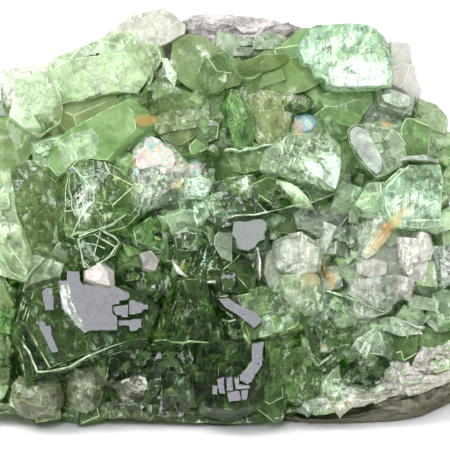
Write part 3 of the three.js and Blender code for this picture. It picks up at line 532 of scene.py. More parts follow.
        ledges=0),
]

growth = {
    "edge": (0.12, 0.34),     # least and greatest width of the worn strip along a crystal's edges
    "swell": 1.08,            # how much wider the plain crystals are before their edges are broken back
    "chips": 6,               # breaks on a wholly broken crystal
    "chipSlant": (15, 70),
    "chipReach": (0.25, 0.45),   # against the width, on a crystal with an outline, and on a plain one
    "facetSlant": (4, 13),
    "facetDepth": (0.3, 1.5),
    "facetArea": 55,          # square millimetres of face for each slightly tilted facet on it
    "mostFacets": 6,
    "ragged": 0.15,           # how far an outline wavers
    "waver": 2.2,             # length of one waver
    "flare": (0.4, 0.05),     # how much a crystal widens backwards, and the same at the specimen's rim
    "ledgeArea": 45,          # square millimetres of face for each ledge
    "ledgeHeight": (0.1, 0.4),
    "ledgeSize": (0.08, 0.34),
    "terrace": 0.045,         # how much wider each step of a terraced cube is
    "leafStep": 0.9,          # thickness of one cleavage leaf
    "crustDepth": 26,         # from the crystal face back to the rock
    "filler": 1.25,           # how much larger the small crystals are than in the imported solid
    "behind": 7,              # how far the small crystals stay behind a larger one's front
    "gap": 0.3,               # between crystals and rock
    "seed": 2417,
}

# what the small crystals look like, by how far across and up the face they are: between which limits, how
# cloudy, and which tints; the first zone that fits counts
zones = [
    ((-80, 80), (78, 130), (0.45, 0.75), ["green", "olive", "green", "pale", "brown"]),
    ((22, 80), (0, 78), (0.35, 0.75), ["pale", "mint", "green", "clear", "frost"]),
    ((-80, -44), (0, 78), (0.4, 0.7), ["olive", "green", "pale"]),
    ((-44, 22), (0, 45), (0.05, 0.35), ["dark", "deep", "green"]),
    ((-44, 22), (45, 78), (0.2, 0.6), ["green", "deep", "mint", "green"]),
]


def zoneLook(at, chance):
    fits = [z for z in zones if all(low <= place < high for place, (low, high) in zip(at, z[:2]))]
    _, _, cloud, choice = (fits or zones)[0]
    return dict(tint=chance.choice(choice), cloud=chance.uniform(*cloud), calm=0.15, broken=0.4)


crest = [(-75, 84), (-66, 94), (-52, 104), (-36, 110), (-20, 113), (-12, 104), (20, 104), (26, 112),
         (46, 112), (56, 100), (62, 90), (75, 78)]


def heightAt(outline, across):
    for (x0, y0), (x1, y1) in zip(outline, outline[1:]):
        if across <= x1:
            return y0 + (y1 - y0) * (across - x0) / (x1 - x0)
    return outline[-1][1]


def insideFace(at):
    across, up = at
    onRightCrust = across > 40 and up < 17
    return abs(across) < 70 and up < heightAt(crest, across) - 3 and not onRightCrust


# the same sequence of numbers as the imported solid's small crystals
def seededDraw(seed):
    state = [seed]

    def draw(low, high):
        state[0] = state[0] * 16807 % 2147483647
        return low + (high - low) * state[0] / 2147483647
    return draw


def smallCrystals(draw):
    found = []
    for line in range(9):
        for column in range(11):
            across = -65 + column * 13 + draw(-5, 5)
            up = 4 + line * 12.6 + draw(-5, 5)
            size = (draw(4.5, 9), draw(4, 9), draw(8, 13))
            turn = (draw(-40, 40), draw(-26, 26), draw(-30, 14))
            corner = (math.copysign(1, draw(-1, 1)), math.copysign(1, draw(-1, 1)), 1, draw(2, 4.5))
            size = [s * growth["filler"] for s in size]
            found.append(row((across, up), draw(3, 9), size, turn, corners=[corner]))
    return [c for c in found if insideFace(c["at"])]


def flankCrystals(draw):
    found = []
    for line in range(7):
        for side in (-1, 1):
            for back in (-6, -17):
                up = 10 + line * 11 + draw(-3, 3)
                if side > 0 and up < 22:
                    continue
                size = (draw(9, 15), draw(9, 14), draw(12, 16))
                across = side * (66 - line * 0.5 + back * 0.15 + draw(-1, 2))
                turn = (draw(-20, 20), side * draw(25, 60), draw(-20, 14))
                found.append(row((across, up), back + draw(0, 4), size, turn))
    for i in range(12):
        across = -60 + i * 11
        up = heightAt(crest, across) - (12 if -16 < across < 24 else 3)
        size = (draw(9, 14), draw(9, 13), draw(12, 16))
        turn = (draw(-35, 35), draw(-25, 25), draw(-50, -20))
        found.append(row((across, up), draw(-14, -8), size, turn))
    return found


# every face carries its crystal's tint, state and directions, which the material reads
faceNumbers = ("cloud", "crazed", "worn", "phase", "calm")
faceVectors = ("tint", "axisX", "axisY")


def newCrystalMesh():
    bm = bmesh.new()
    for name in faceVectors:
        bm.faces.layers.float_vector.new(name)
    for name in faceNumbers:
        bm.faces.layers.float.new(name)
    return bm


def paintFaces(bm, faces, tint, cloud=0.2, crazed=0.5, phase=0.0, calm=0.0, axes=faceFrame):
    vectors = {"tint": tint, "axisX": axes.col[0].xyz, "axisY": axes.col[1].xyz}
    numbers = {"cloud": cloud, "crazed": crazed, "phase": phase, "calm": calm}
    values = [(bm.faces.layers.float_vector[name], value) for name, value in vectors.items()]
    values += [(bm.faces.layers.float[name], value) for name, value in numbers.items()]
    for f in faces:
        for layer, value in values:
            f[layer] = value


def within(value):
    return min(max(value, 0), 1)


def varied(tint, chance, amount=0.13):
    lighter = 1 + chance.uniform(-amount, amount)
    return tuple(within(t * (lighter + chance.uniform(-amount, amount) / 4)) for t in tint)


def lookOf(crystal, chance=None):
    look = {key: crystal[key] for key in ("cloud", "crazed", "calm", "phase") if key in crystal}
    look["tint"] = tints[crystal["tint"]]
    if chance:
        look["tint"] = varied(look["tint"], chance)
        look["cloud"] = within(look["cloud"] + chance.uniform(-0.25, 0.2))
        look["crazed"] *= chance.uniform(0, 1.2)
    return look


# tints each face a little differently, wears the edges that don't run backwards, and puts the crystal in place
def finishCrystal(bm, matrix, look, edge, chance, worn=(0.2, 1)):
    look.setdefault("phase", chance.uniform(0, 50))
    look["axes"] = matrix
    for f in bm.faces:
        paintFaces(bm, [f], **dict(look, tint=varied(look["tint"], chance),
                                   cloud=within(look["cloud"] + chance.uniform(-0.12, 0.12))))
    if edge:
        wornLayer = bm.faces.layers.float["worn"]
        across = [e for e in bm.edges if abs(e.verts[0].co.z - e.verts[1].co.z) < 0.85 * e.calc_length()]
        made = bmesh.ops.bevel(bm, geom=across, offset=edge * mm, affect="EDGES", segments=1,
                               profile=0.5, material=-1, clamp_overlap=True)
        paintFaces(bm, made["faces"], **look)
        for f in made["faces"]:
            f[wornLayer] = chance.uniform(*worn)
    bm.transform(matrix)
    bmesh.ops.recalc_face_normals(bm, faces=bm.faces)


def keepMesh(bm, name, collection):
    data = bpy.data.meshes.new(name)
    bm.to_mesh(data)
    bm.free()
    return newObject(name, data, collection)


# a plate that widens backwards by its flare
def plateMesh(outline, thick, flare=0):
    bm = newCrystalMesh()
    front = bm.faces.new([bm.verts.new(Vector((x, y, 0)) * mm) for x, y in outline])
    middle = front.calc_center_median()
    made = bmesh.ops.extrude_face_region(bm, geom=[front])
    for vert in [g for g in made["geom"] if isinstance(g, bmesh.types.BMVert)]:
        vert.co += (vert.co - middle).normalized() * flare * mm - Vector((0, 0, thick * mm))
    bmesh.ops.recalc_face_normals(bm, faces=bm.faces)
    return bm


# an outline seen on the crystal face, laid onto a plate's own tilted front
def ownOutline(outline, at, proud, turn):
    normal = turned(turn).col[2].xyz
    intoPlate = placeOnFace(at, proud, turn).inverted() @ faceFrame
    middle = picture["middle"] / mm
    found = []
    for across, up in outline:
        out = proud - (normal.x * (across - at[0]) + normal.y * (up - at[1])) / normal.z
        nearer = 1 - out * mm / picture["distance"]
        seen = Vector((across * nearer, middle + (up - middle) * nearer, out)) * mm
        found.append((intoPlate @ seen).xy / mm)
    return found


def middleOf(outline):
    return [sum(values) / len(outline) for values in zip(*outline)]


def raggedOutline(outline, chance, amount=0.22, closed=True):
    found = []
    for (x0, y0), (x1, y1) in zip(outline, outline[1:] + outline[:1] * closed):
        found.append((x0, y0))
        steps = int(math.hypot(x1 - x0, y1 - y0) / growth["waver"])
        for i in range(1, steps):
            shift = [chance.uniform(-amount, amount) for _ in range(2)]
            found.append((x0 + (x1 - x0) * i / steps + shift[0], y0 + (y1 - y0) * i / steps + shift[1]))
    return found


def isInside(place, outline):
    inside = False
    for (x0, y0), (x1, y1) in zip(outline, outline[1:] + outline[:1]):
        if (y0 > place[1]) != (y1 > place[1]) and place[0] < x0 + (place[1] - y0) * (x1 - x0) / (y1 - y0):
            inside = not inside
    return inside


# a block whose front lies at its own zero height
def cubeMesh(size):
    bm = newCrystalMesh()
    bmesh.ops.create_cube(bm, size=1)
    bmesh.ops.translate(bm, vec=(0, 0, -0.5), verts=bm.verts)
    bmesh.ops.scale(bm, vec=Vector(size) * mm, verts=bm.verts)
    return bm


def cutAway(bm, point, normal):
    made = bmesh.ops.bisect_plane(bm, geom=bm.verts[:] + bm.edges[:] + bm.faces[:], plane_co=point * mm,
                                  plane_no=normal, clear_outer=True)
    rim = [g for g in made["geom_cut"] if isinstance(g, bmesh.types.BMEdge)]
    if rim:
        bmesh.ops.edgeloop_fill(bm, edges=rim)


def cleaveCorner(bm, size, corner):
    sx, sy, sz, cut = corner
    normal = Vector((sx, sy, sz)).normalized()
    point = Vector((sx * size[0] / 2, sy * size[1] / 2, (sz - 1) * size[2] / 2))
    cutAway(bm, point - normal * cut / math.sqrt(3), normal)


def chipCorners(bm, size, chance, count, most):
    for _ in range(count):
        cut = min(size[:2]) * chance.uniform(0.08, most)
        cleaveCorner(bm, size, (chance.choice((-1, 1)), chance.choice((-1, 1)), 1, cut))


# planes that slant away from the front, each through the corner that lies furthest out
def slantingPlanes(bm, chance, count, slants):
    for _ in range(count):
        around = chance.uniform(0, 2 * math.pi)
        slant = math.radians(chance.uniform(*slants))
        low = math.sin(slant)
        normal = Vector((math.cos(around) * low, math.sin(around) * low, math.cos(slant)))
        yield slant, normal, max((v.co for v in bm.verts), key=normal.dot) / mm


# breaks the front's edges back
def chipEdges(bm, chance, count, reach):
    for slant, normal, tip in slantingPlanes(bm, chance, count, growth["chipSlant"]):
        cutAway(bm, tip - normal * reach * chance.uniform(0.15, 1) * math.sin(slant), normal)


# breaks up a flat front into facets that lean a little
def facetFront(bm, chance, count):
    for _, normal, tip in slantingPlanes(bm, chance, count, growth["facetSlant"]):
        cutAway(bm, tip - normal * chance.uniform(*growth["facetDepth"]), normal)


def bakeModifiers(piece):
    baked = bpy.data.meshes.new_from_object(piece.evaluated_get(bpy.context.evaluated_depsgraph_get()))
    piece.modifiers.clear()
    piece.data = baked


# joins what is in the collection to the piece, or cuts it away, and clears the collection
def applyBoolean(piece, operation, collection):
    inScene = bpy.context.scene.collection.objects
    if piece.name not in inScene:
        inScene.link(piece)
    modifier = piece.modifiers.new(operation.lower(), "BOOLEAN")
    modifier.operation = operation
    modifier.operand_type = "COLLECTION"
    modifier.collection = collection
    modifier.solver = "MANIFOLD"
    bakeModifiers(piece)
    inScene.unlink(piece)
    for tool in list(collection.objects):
        bpy.data.objects.remove(tool)
    bpy.data.collections.remove(collection)


# cleavage leaves broken back one behind the other
def carveSteps(piece, crystal, matrix):
    side, count = crystal["steps"]
    wide, high, _ = crystal["size"]
    step = growth["leafStep"]
    knives = bpy.data.collections.new("knives")
    for i in range(1, count + 1):
        reach = wide * 0.42 * (count + 1 - i) / (count + 0.6)
        bm = newCrystalMesh()
        bmesh.ops.create_cube(bm, size=1)
        bmesh.ops.scale(bm, vec=Vector((reach * 2, high * 1.2, step * 2)) * mm, verts=bm.verts)
        place = Vector((side * wide / 2, high * 0.07 * (i % 3), -step * (i - 1)))
        bmesh.ops.translate(bm, vec=place * mm, verts=bm.verts)
        paintFaces(bm, bm.faces, **lookOf(crystal))
        bm.transform(matrix)
        keepMesh(bm, f"knife{i}", knives)
    applyBoolean(piece, "DIFFERENCE", knives)


def addCrystal(crystal, index, joined, chance):
    wide, high, deep = crystal["size"]
    where = (crystal["at"], crystal["proud"], crystal["turn"])
    matrix = placeOnFace(*where)
    crystal["phase"] = chance.uniform(0, 50)
    edge = chance.uniform(*growth["edge"])
    breaks = round(growth["chips"] * crystal["broken"])
    reach = [min(wide, high) * share for share in growth["chipReach"]]
    if crystal["outline"]:
        outline = raggedOutline(ownOutline(crystal["outline"], *where), chance, growth["ragged"])
        atRim = crystal["at"][1] > 98 or abs(crystal["at"][0]) > 50
        bm = plateMesh(outline, deep, deep * growth["flare"][atRim])
        chipEdges(bm, chance, round(breaks * 0.6), reach[0])
        if not crystal["steps"] and not crystal["terraces"]:
            facets = round(breaks * 0.25 + wide * high / growth["facetArea"] * (breaks > 1))
            facetFront(bm, chance, min(growth["mostFacets"], facets))
    else:
        size = (wide * growth["swell"], high * growth["swell"], deep)
        outline = [(x * wide / 2, y * high / 2) for x, y in ((-1, -1), (1, -1), (1, 1), (-1, 1))]
        bm = cubeMesh(size)
        for corner in crystal["corners"]:
            cleaveCorner(bm, size, corner)
        chipEdges(bm, chance, breaks, reach[1])
    finishCrystal(bm, matrix, lookOf(crystal), edge, chance, crystal["rim"])
    piece = keepMesh(bm, f"crystal{index}", joined)
    middle = sum((Vector(point) for point in outline), Vector((0, 0))) / len(outline)
    for i in range(1, crystal["terraces"] + 1):
        wider = 1 + growth["terrace"] * i
        bm = plateMesh([middle + (Vector(point) - middle) * wider for point in outline], deep)
        shelf = Matrix.Translation(Vector((-0.4 * i, -0.5 * i, -growth["leafStep"] * i)) * mm)
        finishCrystal(bm, matrix @ shelf, lookOf(crystal), edge, chance, (0, 0.5))
        keepMesh(bm, f"terrace{index}_{i}", joined)
    if crystal["steps"]:
        carveSteps(piece, crystal, matrix)
    return matrix, outline, middle


# parallel-grown plates and broken leaves standing a little out of a crystal's face
def addLedges(crystal, index, joined, chance, matrix, outline, middle):
    wide, high, deep = crystal["size"]
    count = crystal["ledges"]
    if count is None:
        count = max(2, round(wide * high / growth["ledgeArea"])) if crystal["calm"] < 0.3 else 0
    for i in range(count):
        size = [side * chance.uniform(*growth["ledgeSize"]) for side in (wide, high)] + [deep * 0.4]
        place = middle + (Vector(chance.choice(outline)) - middle) * chance.uniform(0, 0.55)
        place = Vector((*place, chance.uniform(*growth["ledgeHeight"])))
        tilt = turned([chance.uniform(-4, 4) for _ in range(3)])
        bm = cubeMesh(size)
        chipCorners(bm, size, chance, chance.randint(1, 4), 0.7)
        finishCrystal(bm, matrix @ Matrix.Translation(place * mm) @ tilt, lookOf(crystal),
                      chance.uniform(0.05, 0.12), chance, (0, 0.5))
        keepMesh(bm, f"ledge{index}_{i}", joined)


# splinters and crumbs of crystal caught in the hollows
splinters = {
    "count": 1100,      # tried; only those in a hollow are kept
    "across": (-70, 70),
    "up": (7, 116),
    "size": ((2, 9), (3, 11), (6, 10)),
    "turn": ((-180, 180), (-30, 30), (-35, 20)),
    "proud": (3, 9),
    "edge": 0.1,
}


def addSplinters(joined, chance):
    for i in range(splinters["count"]):
        at = (chance.uniform(*splinters["across"]), chance.uniform(*splinters["up"]))
        if any(isInside(at, c["outline"]) for c in crystals) or not insideFace(at):
            continue
        size = [chance.uniform(*limits) for limits in splinters["size"]]
        turn = [chance.uniform(*limits) for limits in splinters["turn"]]
        bm = cubeMesh(size)
        chipCorners(bm, size, chance, 2, 0.6)
        chipEdges(bm, chance, 3, min(size[:2]) * 0.6)
        look = lookOf(dict(usual, **zoneLook(at, chance)), chance)
        matrix = placeOnFace(at, chance.uniform(*splinters["proud"]) - max(0, at[1] - 85) * 0.2, turn)
        finishCrystal(bm, matrix, look, splinters["edge"], chance, (0, 0.5))
        keepMesh(bm, f"splinter{i}", joined)


# the massive fluorite that all the crystals grow from: across, up and out
heart = [
    (-60, 12, -1), (-62, 60, 3), (-52, 84, 3), (-30, 98, 3), (-8, 101, 3), (20, 100, 3), (42, 96, 3),
    (56, 76, 4), (62, 50, 4), (58, 24, 2), (40, 8, 0), (12, 5, 3), (-25, 6, 2), (-70, 4, -16), (-71, 50, -16),
    (-64, 82, -14), (-40, 101, -14), (-15, 107, -12), (20, 105, -12), (45, 103, -14), (60, 86, -16),
    (70, 60, -16), (70, 28, -16), (60, 10, -12), (30, 0, -2), (-10, -2, 0), (-48, 0, -4), (-66, 4, -40),
    (-68, 50, -40), (-58, 80, -38), (-35, 97, -36), (20, 103, -36), (56, 82, -38), (66, 58, -40),
    (64, 20, -40), (-50, -14, -20), (40, -14, -20), (-50, -30, -50), (50, -30, -50),
]


def heartOfMass():
    bm = newCrystalMesh()
    for point in heart:
        bm.verts.new(faceFrame @ (Vector(point) * mm))
    made = bmesh.ops.convex_hull(bm, input=bm.verts)
    unused = [v for v in made["geom_interior"] + made["geom_unused"] if isinstance(v, bmesh.types.BMVert)]
    bmesh.ops.delete(bm, geom=unused, context="VERTS")
    bmesh.ops.recalc_face_normals(bm, faces=bm.faces)
    paintFaces(bm, bm.faces, tints["green"], cloud=0.6)
    return keepMesh(bm, "fluorite_crystals", bpy.context.scene.collection)


# frosted pebbles of massive fluorite at the lower left
lumps = {
    "places": [((-55, 8.4), 8.5, (16, 14, 13)),   # where, how proud, how large
               ((-41.5, 10.5), 7.5, (12, 14, 11))],
    "relief": ((1.5, 0.15), (6, 0.03)),   # how close together, and how high
    "chips": (9, 2),
    "look": {"tint": tints["pebble"], "cloud": 0.6, "crazed": 0.4},
}


def addLump(at, proud, size, index, joined, chance):
    bm = newCrystalMesh()
    bmesh.ops.create_icosphere(bm, subdivisions=4, radius=1)
    shift = Vector((0, 0, index * 5))
    (broad, high), (fine, low) = lumps["relief"]
    for vert in bm.verts:
        vert.co *= 1 + high * noise.noise(vert.co * broad + shift) + low * noise.noise(vert.co * fine + shift)
    bmesh.ops.scale(bm, vec=Vector(size) * mm / 2, verts=bm.verts)
    chipEdges(bm, chance, *lumps["chips"])
    finishCrystal(bm, placeOnFace(at, proud, (0, 0, 0)), dict(lumps["look"]), 0, chance)
    keepMesh(bm, f"lump{index}", joined)


def addPlate(name, outline, where, thick, flare, look, edge, joined, chance):
    bm = plateMesh(ownOutline(outline, *where), thick, flare)
    finishCrystal(bm, placeOnFace(*where), look, edge, chance)
    keepMesh(bm, name, joined)


# ragged mirror-bright leaves, all lying nearly the same way: how proud, how turned, their outline
leaves = [
    (15.5, (0, -0.3, -14.1), [-499, 424, -475, 425, -474, 454, -437, 451, -434, 419, -428, 412, -411, 414,
     -409, 410, -345, 408, -322, 404, -300, 392, -289, 389, -286, 372, -300, 366, -316, 365, -318, 355, -338,
     352, -338, 332, -334, 321, -324, 317, -324, 276, -408, 275, -421, 267, -447, 290, -490, 341, -496, 384]),
    (14.5, (0, -1.2, -14.3), [-288, 368, -270, 366, -268, 360, -249, 359, -248, 355, -230, 351, -231, 340,
     -246, 338, -248, 329, -266, 327, -270, 322, -288, 324]),
    (15.1, (0, -0.9, -14.4), [-334, 348, -291, 352, -291, 315, -310, 315, -311, 320, -327, 322, -334, 332]),
    (14.9, (0, -1.1, -14.6), [-319, 305, -278, 306, -276, 310, -251, 308, -251, 284, -261, 282, -262, 275,
     -286, 274, -288, 290, -319, 291]),
    (14.7, (0, 0.7, -14.1), [-550, 389, -538, 402, -519, 402, -514, 337, -539, 336]),
    (16.7, (0, 0.7, -14.9), [-561, 298, -544, 302, -538, 290, -523, 288, -520, 260, -501, 211, -520, 208, -538,
     247]),
    (16.2, (0, -3.7, -15.4), [117, 243, 81, 234, 81, 186, 66, 165, 45, 141, 45, 126, 66, 114, 81, 123, 90, 141,
     111, 171]),
    (16.6, (0, -3.1, -15.8), [-24, 129, -3, 135, 0, 84, -18, 87]),
    (16.2, (0, -3.3, -15.8), [3, 132, 21, 135, 24, 96, 6, 93]),
    (16.5, (0, -3.5, -15.8), [27, 132, 42, 135, 42, 114, 72, 111, 75, 102, 33, 99]),
    (16.3, (0, -3.4, -16), [6, 90, 42, 96, 48, 66, 12, 60]),
    (16.6, (0, -3.6, -16), [48, 96, 69, 99, 66, 69, 51, 66]),
    (16.2, (0, -2.9, -15.9), [-39, 108, -24, 111, -24, 84, -36, 84]),
    (13, (0, -3.7, -12.7), [24, 582, 27, 597, 39, 603, 60, 600, 81, 606, 111, 609, 123, 600, 126, 579, 117,
     567, 120, 549, 102, 543, 90, 525, 69, 513, 45, 519, 36, 531, 33, 549, 21, 564]),
    (14.6, (0, -3.5, -14.3), [-21, 369, 9, 372, 51, 345, 99, 327, 108, 300, 87, 282, 45, 318, 3, 342]),
]


def addLeaf(proud, turn, outline, index, joined, chance):
    outline = raggedOutline(points(outline), chance)
    look = dict(tint=tints["deep"], cloud=0, crazed=0, calm=0.95)
    addPlate(f"leaf{index}", outline, (middleOf(outline), proud, turn), growth["leafStep"] * 6, 0, look, 0,
             joined, chance)


# broken facets that stand out pale: the crystal they lie on, how far in front, tint, cloud, crazed, outline
pale = [
    ("great mint crystal", 0.3, "snow", 0.85, 1, [309, 1062, 344, 1068, 383, 1083, 456, 1077, 473, 1051, 486,
     1034, 487, 1011, 344, 1005, 318, 1011]),
    ("olive block", -1, "mint", 0.8, 0.6, [-196, 1093, -174, 1090, -158, 1059, -140, 1042, -152, 1003, -177,
     1034, -184, 1068]),
    ("clear crystal", 0.6, "snow", 0.95, 1, [238, 775, 259, 786, 278, 775, 296, 786, 308, 797, 330, 805, 349,
     786, 346, 741, 334, 698, 315, 707, 289, 730, 259, 748]),
    ("clear blade", 0.5, "white", 0.8, 0.1, [374, 871, 392, 886, 422, 875, 444, 840, 470, 788, 466, 754, 452,
     744, 422, 771, 395, 810, 378, 840]),
    ("fan crystal", 0.5, "blush", 0.9, 0.3, [-267, 768, -264, 813, -243, 825, -240, 846, -222, 858, -195, 846,
     -180, 825, -159, 816, -147, 786, -159, 756, -195, 771, -225, 765, -252, 759]),
    ("green slab", 0.15, "mint", 0.45, 0.4, [-504, 837, -450, 867, -399, 882, -375, 846, -387, 801, -435, 771,
     -471, 750, -495, 786]),
    ("great diagonal", 0.5, "grey", 0.6, 0.2, [-30, 558, -3, 585, 24, 570, 21, 480, -9, 492, -33, 528]),
]


def addPale(host, rise, tint, cloud, crazed, outline, index, joined, chance):
    host = next(c for c in crystals if c.get("name") == host)
    where = (host["at"], host["proud"] + rise, host["turn"])
    look = dict(tint=tints[tint], cloud=cloud, crazed=crazed, calm=0.15)
    addPlate(f"pale{index}", points(outline), where, 3, 0, look, 0.12, joined, chance)


# wavy edges of plates: how proud, tint, width, line, and the turn where it isn't the usual one
seams = [
    (13.5, "white", 2, [531, 791, 570, 794, 615, 789, 669, 783]),
    (12, "pale", 0.5, [9, 612, 60, 621, 111, 627, 171, 639, 225, 654, 279, 669, 321, 684, 363, 705]),
    (8, "pale", 0.5, [-585, 870, -549, 861, -495, 900, -489, 951, -504, 1002, -525, 1011]),
    (8, "pale", 0.5, [-489, 957, -429, 969, -375, 990, -339, 984]),
    (6, "pale", 1, [-225, 1128, -213, 1086, -219, 1041, -231, 996]),
    (13, "pale", 0.5, [-465, 750, -468, 696, -459, 645, -441, 591]),
    (13, "mint", 1, [-465, 558, -375, 579, -339, 591, -270, 636]),
    (10, "mint", 1, [-675, 510, -645, 450, -594, 426, -555, 480, -516, 516]),
    (9, "pale", 1, [0, 816, 45, 813, 120, 831, 195, 843]),
    (11, "pale", 1, [246, 246, 258, 201, 279, 171, 300, 186, 351, 210]),
    (12, "blush", 1, [96, 525, 105, 480, 102, 411]),
    (11, "mint", 1, [306, 396, 360, 378, 420, 351, 480, 330, 510, 324]),
    (10, "white", 1, [525, 306, 576, 285, 621, 288]),
    (14.5, "pale", 0.7, [-609, 246, -579, 186, -564, 150, -495, 159, -420, 195, -345, 225, -294, 243]),
    (14.6, "clear", 0.6, [-438, 555, -408, 567, -375, 579, -318, 540, -345, 501, -399, 456, -423, 483, -438,
     555]),
    (14.2, "clear", 0.5, [-375, 573, -384, 531, -411, 477]),
    (14.2, "clear", 0.5, [-429, 537, -384, 531, -336, 513]),
    (11.5, "bronze", 1, [285, 504, 297, 468, 309, 435, 330, 405]),
    (11.7, "dark", 0.7, [285, 783, 300, 759, 318, 747, 327, 714]),
    (15.8, "white", 1.3, [-489, 411, -480, 378, -477, 348, -462, 318, -438, 285], (0, -0.3, -14.1)),
    (15.8, "clear", 0.8, [-477, 417, -468, 366, -450, 324, -405, 276], (0, -0.3, -14.1)),
    (15.8, "snow", 0.7, [-492, 390, -483, 348, -465, 306], (0, -0.3, -14.1)),
    (11.8, "blush", 1.2, [-159, 486, -138, 453, -105, 429, -66, 420, -3, 429]),
    (15.5, "green", 1, [-207, 243, -159, 240, -105, 243, -51, 240, -9, 246]),
]


def addSeam(seam, index, joined, chance):
    proud, tint, width, line, turn = (*seam, (0, 4, -4))[:5]
    line = [Vector(point) for point in raggedOutline(points(line), chance, 0.5, closed=False)]
    upper, lower = [], []
    for i, point in enumerate(line):
        along = line[min(i + 1, len(line) - 1)] - line[max(i - 1, 0)]
        aside = Vector((-along.y, along.x)).normalized() * chance.uniform(0.1, 0.5) * width
        upper.append(tuple(point + aside))
        lower.append(tuple(point - aside))
    outline = upper + lower[::-1]
    look = dict(tint=tints[tint], cloud=0.7, crazed=0.8)
    addPlate(f"seam{index}", outline, (middleOf(outline), proud, turn), 7, 1, look, 0, joined, chance)


# crumbs of pale rock and crystal along the top of the rock's foot
crumbs = {
    "count": 100,
    "from": (30, 6.5),
    "to": (69, 21.5),
    "spread": 3,
    "proud": (6, 8.8),
    "tints": ["blush", "cream", "blush", "pink", "frost", "pale"],
}


def addCrumbs(joined, chance):
    for i in range(crumbs["count"]):
        place = Vector(crumbs["from"]).lerp(Vector(crumbs["to"]), chance.random())
        place.y += chance.uniform(-1, 1) * crumbs["spread"]
        size = (chance.uniform(2, 6), chance.uniform(1.5, 4), 6)
        turn = (21 + chance.uniform(-60, 60), chance.uniform(-35, 35), chance.uniform(-45, 5))
        bm = cubeMesh(size)
        chipCorners(bm, size, chance, 2, 0.6)
        chipEdges(bm, chance, 6, min(size[:2]) * 0.7)
        look = dict(tint=tints[chance.choice(crumbs["tints"])], cloud=0.8, crazed=0.6)
        matrix = placeOnFace(place, chance.uniform(*crumbs["proud"]), turn)
        finishCrystal(bm, matrix, look, 0.1, chance, (0, 0.4))
        keepMesh(bm, f"crumb{i}", joined)


# thin cracks along the cleavage, which flash where they turn the light back
cracks = {
    "count": 240,
    "width": 0.12,
    "reach": (1.6, 7.5),   # half their length
    "depth": (-11, 0.3),   # below the crystal's front
    "octahedral": 0.7,     # the share that lies across a cube's corner
    "room": 90,            # least face of a crystal with cracks, in square millimetres
    "mostCloud": 0.5,
}


def addCracks(mass, chance):
    slits = bpy.data.collections.new("slits")
    roomy = [c for c in crystals
             if c["size"][0] * c["size"][1] > cracks["room"] and c["cloud"] < cracks["mostCloud"]]
    areas = [c["size"][0] * c["size"][1] * (0.2 + c["crazed"]) for c in roomy]
    for i in range(cracks["count"]):
        crystal = chance.choices(roomy, areas)[0]
        wide, high, _ = crystal["size"]
        if chance.random() < cracks["octahedral"]:
            normal = Vector((chance.choice((-1, 1)), chance.choice((-1, 1)), chance.uniform(0.7, 1.1)))
        else:
            normal = Vector(chance.choice(((1, 0, 0.1), (0, 1, 0.1))))
        normal += Vector([chance.uniform(-0.12, 0.12) for _ in range(3)])
        reach = chance.uniform(*cracks["reach"])
        corners = chance.randint(4, 7)
        outline = []
        for corner in range(corners):
            angle = 2 * math.pi * (corner + chance.uniform(0, 0.6)) / corners
            far = reach * chance.uniform(0.5, 1)
            outline.append((far * math.cos(angle), far * math.sin(angle)))
        place = Vector((chance.uniform(-0.4, 0.4) * wide, chance.uniform(-0.4, 0.4) * high,
                        chance.uniform(*cracks["depth"])))
        bm = plateMesh(outline, cracks["width"])
        paintFaces(bm, bm.faces, **lookOf(crystal, chance))
        bm.transform(placeOnFace(crystal["at"], crystal["proud"], crystal["turn"])
                     @ Matrix.Translation(place * mm) @ normal.to_track_quat("Z", "Y").to_matrix().to_4x4())
        keepMesh(bm, f"slit{i}", slits)
    applyBoolean(mass, "DIFFERENCE", slits)


# how far out of the face the rock comes
def crustReach(across, up):
    crestBump = math.exp(-((across - 5) / 21) ** 4) * smoothStep(up, 90, 106)
    footTop = 4 + 0.2 * (across - 10)
    footBump = smoothStep(across, 0, 12) * smoothStep(footTop - up, -5, 4)
    leftBump = math.exp(-((across + 60) / 10) ** 2 - ((up - 104) / 8) ** 2)
    ripple = 1.6 * math.sin(across / 9 + 1.7 * math.sin(up / 13)) * math.cos(up / 8 + across / 21)
    return -growth["crustDepth"] + 25 * crestBump + 32 * footBump + 14 * leftBump + ripple


# takes away what lies in the rock or below the ground, and leaves a jagged back
def cutBehind(mass, chance):
    knives = bpy.data.collections.new("behind")
    bm = newCrystalMesh()
    bmesh.ops.create_grid(bm, x_segments=40, y_segments=38, size=100)
    for vert in bm.verts:
        across, up = vert.co.x, vert.co.y + 50
        vert.co = Vector((across, up, crustReach(across, up) + growth["gap"] + chance.uniform(0, 2.4)))
    made = bmesh.ops.extrude_face_region(bm, geom=bm.faces[:])
    for vert in [g for g in made["geom"] if isinstance(g, bmesh.types.BMVert)]:
        vert.co.z = -160
    bmesh.ops.triangulate(bm, faces=bm.faces)
    bmesh.ops.scale(bm, vec=(mm, mm, mm), verts=bm.verts)
    bm.transform(faceFrame)
    bmesh.ops.recalc_face_normals(bm, faces=bm.faces)
    ground = newCrystalMesh()
    bmesh.ops.create_cube(ground, size=0.4)
    bmesh.ops.translate(ground, vec=(0, 0, -0.2), verts=ground.verts)
    for name, knife in (("behind", bm), ("ground", ground)):
        paintFaces(knife, knife.faces, tints["deep"])
        keepMesh(knife, name, knives)
    applyBoolean(mass, "DIFFERENCE", knives)


